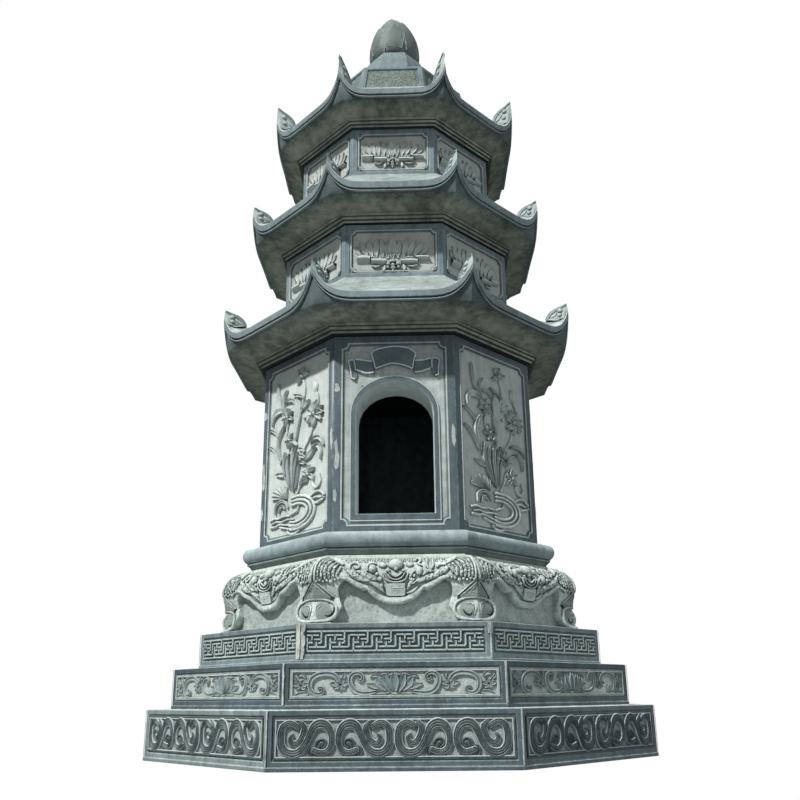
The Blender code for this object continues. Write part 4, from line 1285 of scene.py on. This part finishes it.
door = {"half": 0.213, "sill": 1.237, "spring": 1.800, "bandWidth": 0.031, "bandSill": 0.040,
        "bandRise": 0.220,
        "line": 0.0055, "lineRise": 0.0012}
# filler rubbed into the post, in mm from the middles of the face and panel
wallPatches = [[(-331, 238), (-318, 232), (-300, 240), (-302, 262), (-316, 284), (-330, 280), (-326, 262)],
               [(-330, -60), (-322, -120), (-330, -190), (-318, -214), (-304, -196), (-300, -140),
                (-308, -96), (-316, -40)],
               [(-332, -380), (-318, -392), (-312, -350), (-320, -318), (-332, -330)],
               [(322, -100), (330, -60), (328, 10), (316, 40), (308, -10), (312, -70)]]


def archPoints(half, low, spring, rise, width, steps=16):
    points = [(-half, low, width), (half, low, width)]
    turns = [math.pi * step / steps for step in range(steps + 1)]
    return points + [(half * math.cos(turn), spring + rise * math.sin(turn), width) for turn in turns]


def doorLines():
    # a pale line on the outer edge of the plain band round the doorway
    bm = bmesh.new()
    line = door["line"]
    low = door["sill"] - door["bandSill"] + line / 2
    outer = archPoints(door["half"] + door["bandWidth"] - line / 2, low, door["spring"],
                       door["bandRise"] - line / 2, line)
    straightBead(bm, outer, door["lineRise"], pale=2)
    return bm


def makeWalls():
    for index, side in enumerate(faceNames):
        ground = "door_ground" if index == 0 else "pecked_ground"
        dressStone("wall_" + side, ["honed_slate", ground, "reveal_stone_bounce_lit"],
                   wallPaint(index, wall["apothem"], panelDepth["wall"]))
    bm = bmesh.new()
    frameBeads(bm, wall["half"], wall["rise"], wall["notch"], panelDepth["wall"], wall["bead"], wall["cove"])
    onEachFace("wall_beads", bm, ["pale_line", "cove_shade_grey"], wall["apothem"],
               wall["middle"], smooth=0)
    onEachFace("plant_relief", plantPanel(), ["leaf_carving", "blade_carving"],
               wall["apothem"] - panelDepth["wall"], wall["middle"], range(1, 8))
    onEachFace("ribbon", bannerPiece(), ["ribbon_slate", "ribbon_line"],
               wall["apothem"] - panelDepth["wall"], wall["middle"], [0], smooth=30)
    onEachFace("door_lines", doorLines(), ["pale_line"], wall["apothem"], 0.0, [0], smooth=0)
    patches = bmesh.new()
    for outline in wallPatches:
        plate(patches, inMm(outline), 0.0009, worn=0.0003)
    onEachFace("filler", patches, ["filler"], wall["apothem"], wall["middle"], [0, 2, 5, 7],
               smooth=0)


def wallPaint(index, apothem, depth):
    # 1 for the sunk ground, 2 for the pale stone inside the doorway, brightened with painted bounce light; 0
    # for the slate frames and the chamber's inner faces, whose dark slate stands in part for painted shade
    turn = faceMatrix(index, apothem).inverted()

    def paint(face):
        middle = turn @ face.calc_center_median()
        level = (turn.to_3x3() @ face.normal).z
        if level > 0.97 and -2 * depth < middle.z < -depth / 2:
            return 1
        return 2 if abs(level) < 0.3 and middle.z < -0.05 and abs(middle.x) < 0.25 else 0
    return paint


makeWalls()
print("walls ready")


# Altar base

altar = {
    # the stone's outline as height and corner radius, from the feet up
    "outline": [(0.6463, 1.061), (0.715, 1.064), (0.750, 1.054), (0.780, 1.041), (0.830, 1.058),
                (0.885, 1.064), (0.925, 1.050), (0.957, 1.018), (0.978, 0.975), (0.992, 0.932),
                (1.010, 0.925)],
    "relief": 0.013,
    # walls set back between the feet: top and greatest distance from the axis; and the heights of the step
    # painted in shade
    "recess": (0.90, 0.948), "shade": (0.979, 0.991),
    # plain rolled rim along the apron's edge, in mm: across, height and width
    "rimMiddle": [(-142, 830, 14), (-122, 811, 26), (-90, 786, 33), (-42, 767, 37), (0, 763, 38),
                  (42, 767, 37), (90, 786, 33), (122, 811, 26), (142, 830, 14)],
    "rimSide": [(-262, 874, 16), (-232, 868, 24), (-204, 851, 27), (-170, 834, 28), (-139, 826, 22)],
    # mask: strokes, and knobs as across, height, size, rise and squash
    "jaws": [[(-62, 893, 8), (-46, 864, 10), (0, 850, 11), (46, 860, 10), (66, 890, 8)],
             [(-46, 895, 7), (-26, 872, 9), (4, 863, 9), (32, 872, 9), (52, 895, 7)],
             [(-30, 893, 6), (4, 876, 8), (38, 893, 6)]],
    "knobs": [(4, 936, 84, 30, 0.62), (-112, 914, 44, 26, 1.0), (120, 902, 42, 24, 1.1),
              (-60, 932, 42, 18, 0.6), (74, 936, 42, 17, 0.6), (-34, 905, 24, 15, 0.8),
              (42, 905, 24, 15, 0.8), (4, 912, 26, 20, 0.9), (-75, 866, 30, 16, 0.9), (-67, 834, 24, 15, 1.0),
              (80, 862, 26, 15, 0.9), (70, 832, 22, 14, 1.0), (-90, 890, 22, 14, 0.9),
              (96, 880, 20, 13, 0.9)],
    # plain and pitted strokes on the left and the right of the mask
    "plain": [[(-226, 914, 9), (-224, 936, 13), (-206, 950, 14), (-184, 944, 13), (-178, 926, 12),
               (-192, 916, 10), (-204, 926, 8)],
              [(-138, 906, 8), (-136, 930, 12), (-116, 946, 12), (-94, 940, 8)],
              [(-126, 852, 12), (-98, 842, 28), (-70, 822, 24), (-56, 808, 10)],
              [(104, 958, 9), (112, 970, 12), (128, 958, 13), (116, 940, 12), (132, 930, 9)],
              [(160, 958, 9), (160, 926, 13), (176, 912, 14), (190, 930, 13), (188, 956, 9)],
              [(70, 868, 8), (84, 892, 14), (104, 908, 12)], [(62, 820, 10), (72, 842, 18), (92, 862, 14)],
              [(60, 800, 10), (84, 806, 20), (108, 824, 12)],
              [(210, 922, 10), (226, 936, 16), (252, 934, 12)]],
    "pitted": [[(-250, 924, 14), (-216, 897, 32), (-184, 876, 34), (-150, 864, 26), (-122, 858, 12)],
               [(-186, 904, 16), (-156, 890, 26), (-126, 872, 24), (-96, 862, 12)],
               [(86, 842, 14), (130, 860, 28), (196, 880, 32), (248, 908, 28), (272, 930, 12)],
               [(140, 884, 12), (160, 900, 22), (186, 900, 14)]],
    # strokes beside each corner, for the left of the face and mirrored for the right
    "strands": [[(-346, 984, 8), (-380, 966, 13), (-399, 915, 14), (-399, 866, 12)],
                [(-306, 974, 20), (-284, 962, 28), (-262, 942, 16)]],
    "pittedStrands": [[(-338, 980, 8), (-368, 960, 14), (-384, 915, 15), (-383, 868, 12)],
                      [(-328, 974, 10), (-354, 952, 17), (-367, 915, 18), (-366, 872, 13)],
                      [(-314, 962, 10), (-338, 944, 18), (-350, 910, 19), (-348, 872, 14)],
                      [(-298, 950, 10), (-318, 936, 18), (-331, 905, 20), (-327, 874, 14)],
                      [(-284, 940, 10), (-299, 926, 16), (-309, 900, 18), (-305, 880, 12)],
                      [(-268, 926, 8), (-280, 912, 13), (-287, 894, 12)]],
    "claws": [(-392, 860, 20), (-374, 864, 19), (-356, 858, 18), (-338, 862, 20), (-318, 858, 26),
              (-298, 866, 17), (-281, 870, 15), (-265, 873, 14), (-248, 871, 15), (-232, 869, 14)],
    # small curls along the top of the apron: first place, spacing, count, heights and size
    "curls": {"first": -246, "spacing": 14.5, "count": 35, "heights": (974, 961), "size": 14},
    "scroll": [(-405, 768, 7), (-370, 768, 10), (-334, 763, 12), (-303, 748, 14), (-289, 726, 16),
               (-290, 702, 19), (-306, 680, 21), (-337, 667, 22), (-376, 662, 19), (-405, 662, 16)],
    # furrows round the scroll's bowl, a dark bowl inside the curl
    "furrows": [[(-362, 750, 3), (-384, 742, 5), (-393, 716, 6), (-387, 690, 5)],
                [(-366, 737, 3), (-379, 727, 4), (-383, 712, 5), (-377, 694, 4)]],
    # painted shadows as dark hooks in the left and the right scroll of each face, and the curl's end over the
    # right one
    "hooks": [[(-302, 731, 5), (-302, 712, 10), (-313, 697, 12), (-331, 690, 10), (-345, 693, 5)],
              [(333, 712, 5), (340, 698, 10), (352, 689, 13), (367, 688, 12), (379, 701, 9), (386, 719, 5)]],
    "bowl": [(-354, 742, 66), (-355, 716, 84), (-354, 690, 66)],
    "curlEnd": [(352, 742, 6), (374, 742, 11), (394, 730, 14), (396, 712, 9)],
    "foot": [(-392, 660, 18), (-350, 656, 16), (-316, 656, 10)],
    "bracket": [(-405, 857), (-405, 764), (-324, 764), (-316, 784)],
    "bracketLines": [[(-405, 864, 8), (-352, 822, 8), (-304, 782, 8)],
                     [(-405, 846, 6), (-362, 812, 6), (-328, 786, 6)],
                     [(-405, 800, 6), (-378, 801, 4)], [(-405, 788, 6), (-376, 789, 4)],
                     [(-400, 838, 4), (-386, 812, 4)],
                     [(-390, 826, 4), (-368, 796, 4)]],
    "notch": [(-320, 786), (-306, 781), (-307, 762), (-326, 750), (-334, 756), (-320, 766)],
    "plateHalf": 46, "plateLow": 788, "plateHigh": 844, "plateLines": (826, 815, 804),
}


def altarPoint(point):
    # across and height on the curved front, raised along its slope
    across, up, out = point
    outline, step = altar["outline"], 0.012
    here = between(outline, up) * toFace
    above, below = between(outline, up + step) * toFace, between(outline, up - step) * toFace
    normal = Vector((2 * step, -(above - below))).normalized()
    return Vector((across, up + out * normal.y, here + out * normal.x))


def altarPanel():
    bm = bmesh.new()
    high = altar["relief"]

    def stroke(points, rise=1.0, section="round", tips="round", pale=2, material=0):
        known = len(bm.faces)
        carve(bm, inMm(points), high * rise, section, altarPoint, 0.008, tips, pale=pale)
        for face in list(bm.faces)[known:] if material else []:
            face.material_index = material
    for points in (altar["rimSide"], altar["rimMiddle"], moved(altar["rimSide"], flip=-1)):
        stroke(points, 1.1)
    for key, rise, pale in (("jaws", 1.35, 2), ("plain", 1.0, 2), ("pitted", 1.1, -1)):
        for points in altar[key]:
            stroke(points, rise, pale=pale)
    for across, up, size, rise, squash in altar["knobs"]:
        knob(bm, across * mm, up * mm, size * mm, rise * mm, altarPoint, 3, squash)
    curls = altar["curls"]
    for index in range(curls["count"]):
        across = curls["first"] + index * curls["spacing"]
        for row, up in enumerate(curls["heights"]):
            shift = noise.noise(Vector((across * 0.1, up, 0.5))) * 8
            knob(bm, (across + shift + row * 7) * mm, (up + shift * 0.7) * mm, curls["size"] * mm,
                 high * 0.55, altarPoint, 1)
    for points in altar["hooks"]:
        stroke(points, 0.45, material=3)
    stroke(altar["curlEnd"], 0.6)
    half, low, tall = altar["plateHalf"], altar["plateLow"], altar["plateHigh"]
    outline = [(-half + 6, low + 2), (-half + 20, low - 5), (half - 14, low - 5), (half, low),
               (half + 4, low + 10), (half + 3, tall), (-half + 2, tall), (-half, low + 12)]
    plate(bm, inMm(outline), high * 1.15, altarPoint, material=4)
    for up in altar["plateLines"]:
        stroke([(-half + 26, up, 5), (4, up - 1, 5), (half - 6, up, 5)], 1.32, "round", "flat")
    for flip in (1, -1):
        for points in altar["strands"]:
            stroke(moved(points, flip=flip), 1.25)
        for points in altar["pittedStrands"]:
            stroke(moved(points, flip=flip), 0.9, pale=-1)
            for index, point in enumerate(smoothPath(inMm(moved(points, flip=flip)), 0.011)[1:-1]):
                shift = noise.noise(Vector((point[0] * 90, point[1] * 90, 2.5))) * 0.009
                size = point[2] * (0.85 + 0.3 * (index % 2))
                knob(bm, point[0] + shift, point[1] - shift, size, high * 1.15, altarPoint, 1, material=1)
        for across, up, size in altar["claws"]:
            knob(bm, flip * across * mm, up * mm, size * mm, high * 1.2, altarPoint)
        stroke(moved(altar["scroll"], flip=flip), 1.0)
        stroke(moved(altar["foot"], flip=flip), 0.8)
        for points in altar["furrows"]:
            stroke(moved(points, flip=flip), 0.5)
        stroke(moved(altar["bowl"], flip=flip), 0.2, "flat", material=2)
        # the notch is a near-black plate of painted shade
        for key, height, material in (("bracket", 0.004, 2), ("notch", 0.0045, 3)):
            flipped = [(flip * across * mm, up * mm) for across, up in altar[key]]
            plate(bm, flipped[::flip], height, altarPoint, material)
        for points in altar["bracketLines"]:
            stroke(moved(points, flip=flip), 0.75, "round", "flat")
    return bm


def altarPaint(face):
    # 1 for the walls set back between the feet, 2 for painted shade on the step over the apron
    middle = face.calc_center_median()
    ways = [faceMatrix(index, 0).to_3x3() @ Vector((0, 0, 1)) for index in range(8)]
    top, reach = altar["recess"]
    low, high = altar["shade"]
    if middle.z < top and abs(face.normal.z) < 0.5 and max(middle.dot(way) for way in ways) < reach:
        return 1
    return 2 if low < middle.z < high else 0


def makeAltar():
    dressStone("altar_base", ["altar_stone", "altar_recess", "bracket_and_shade_stone"], altarPaint,
               edge=0.004)
    finishes = ["altar_carving", "altar_curls", "bracket_and_shade_stone", "painted_shade_black", "altar_stone"]
    onEachFace("altar_mask", altarPanel(), finishes, 0.0)


makeAltar()
print("altar ready")


# Drums and cap

drums = {
    "middle": {"radius": 0.765, "low": 2.684, "high": 3.036, "frame": 0.042, "branch": 2.803, "size": 1.0},
    "upper": {"radius": 0.668, "low": 3.445, "high": 3.782, "frame": 0.042, "branch": 3.571, "size": 0.90},
}
# the raised corners of the panels are set in from the panel's own corner: across and up
drumPanel = {"notch": 0.024, "bead": 0.008, "cove": 0.009, "worn": 0.0004,
             "corner": [(0, 0.026), (0.007, 0.019), (0.019, 0.007), (0.026, 0), (0, 0)]}
# the worn cap stands steeper than its plain solid: size at the foot, and growth up to the top
capTaper = {"foot": 0.935, "growth": 0.125}
branch = {
    "relief": 0.016,
    # in mm from the middle of the branch: across, up and width
    "blocks": [[(-218, 0, 50), (-180, 2, 56), (-140, 0, 46)],
               [(-132, -16, 46), (-90, -19, 50), (-46, -18, 40)],
               [(42, -20, 34), (90, -19, 42), (142, -22, 34)], [(130, 3, 26), (168, 3, 34), (208, 2, 26)]],
    "twigs": [[(-126, -44, 12), (-104, -50, 16), (-84, -44, 10)],
              [(88, -48, 10), (112, -50, 14), (136, -46, 10)],
              [(-150, 14, 10), (-124, 12, 14), (-98, 6, 10)], [(60, 4, 10), (88, 8, 14), (118, 4, 10)]],
    "drops": [[(-52, -46, 12), (-55, -64, 26), (-60, -80, 8)], [(58, -42, 14), (64, -60, 28), (62, -78, 8)],
              [(-6, -62, 20), (-4, -74, 14), (-6, -84, 6)]],
    "petals": [(-4, -40, 32, 26), (-32, -34, 32, 24), (24, -34, 32, 24), (-4, -58, 36, 22),
               (-34, -54, 24, 20), (28, -54, 24, 20), (-4, -14, 40, 24)],
    "eyes": [(-17, -28, 13), (12, -28, 13), (-4, -48, 9)],
    "leaves": [[(-158, 30, 16), (-178, 70, 40), (-196, 112, 14)],
               [(-128, 24, 16), (-142, 74, 40), (-148, 122, 14)],
               [(-104, 20, 16), (-104, 78, 38), (-98, 136, 14)],
               [(-68, 16, 16), (-66, 76, 38), (-76, 134, 14)],
               [(-36, 14, 18), (-34, 62, 36), (-42, 112, 14)], [(-8, 14, 24), (-8, 74, 60), (-8, 136, 24)],
               [(24, 14, 16), (30, 66, 36), (36, 124, 14)], [(54, 18, 16), (70, 72, 38), (84, 134, 14)],
               [(86, 24, 16), (104, 68, 38), (126, 118, 14)], [(122, 26, 16), (146, 62, 38), (176, 104, 14)],
               [(-196, 30, 12), (-212, 52, 26), (-218, 82, 10)],
               [(160, 28, 12), (184, 48, 26), (208, 66, 10)],
               [(-8, 20, 14), (-30, 46, 24), (-54, 58, 12)], [(-8, 20, 14), (16, 46, 24), (42, 56, 12)]],
}


def branchPanel(size):
    bm = bmesh.new()
    high = branch["relief"]
    for key, rise, section, tips in (("leaves", 0.55, "leaf", "round"), ("twigs", 1.1, "round", "round"),
                                     ("blocks", 1.6, "wedge", "flat"), ("drops", 1.0, "round", "round")):
        for points in branch[key]:
            carve(bm, moved(inMm(points), size=size), high * rise, section, spacing=0.008, tips=tips, pale=2)
    for across, up, wide, tall in branch["petals"]:
        knob(bm, across * mm * size, up * mm * size, wide * mm * size, high * 1.6, squash=tall / wide)
    # the eyes are near-black knobs of painted shade
    for across, up, wide in branch["eyes"]:
        knob(bm, across * mm * size, up * mm * size, wide * mm * size, high * 1.5, detail=1, material=1)
    return bm


def makeDrums():
    for storey, drum in drums.items():
        name = storey + "_drum"
        apothem = drum["radius"] * toFace
        depth = panelDepth["drum"]
        dressStone(name, ["drum_slate", "drum_ground"], ringPaint(apothem, depth), edge=0.002)
        half = drum["radius"] * math.sin(halfTurn) - drum["frame"]
        middle, rise = (drum["low"] + drum["high"]) / 2, (drum["high"] - drum["low"]) / 2 - drum["frame"]
        bm = bmesh.new()
        frameBeads(bm, half, rise, drumPanel["notch"], depth, drumPanel["bead"], drumPanel["cove"])
        for across in (-1, 1):
            for up in (-1, 1):
                corner = [(across * (half - inwards), up * (rise - down))
                          for inwards, down in drumPanel["corner"]]
                plate(bm, corner[::across * up], depth, sunkBy(depth), 2, drumPanel["worn"])
        onEachFace(storey + "_drum_beads", bm,
                   ["pale_line", "cove_shade_grey", "drum_slate"], apothem, middle, smooth=0)
        onEachFace(storey + "_branch", branchPanel(drum["size"]),
                   ["branch_carving", "painted_shade_black"], apothem - depth, drum["branch"])
    cap = dressStone("cap", ["drum_slate", "cap_ground"], capPaint, edge=0.002)
    low, high = min(vert.co.z for vert in cap.data.vertices), max(vert.co.z for vert in cap.data.vertices)
    for vert in cap.data.vertices:
        size = capTaper["foot"] + capTaper["growth"] * (vert.co.z - low) / (high - low)
        vert.co = (vert.co.x * size, vert.co.y * size, vert.co.z)


def ringPaint(apothem, depth):
    # 1 where an upright face lies deeper than the frame round it
    def paint(face):
        middle, normal = face.calc_center_median(), face.normal
        out = Vector((normal.x, normal.y))
        reach = out.normalized().dot(middle.xy) if out.length > 0.9 else apothem
        return 1 if reach < apothem - depth / 2 else 0
    return paint


def capPaint(face):
    # the big sloping panels, not their frames
    return 1 if face.calc_area() > 0.03 and 0.1 < face.normal.z < 0.9 else 0


makeDrums()
print("drums ready")
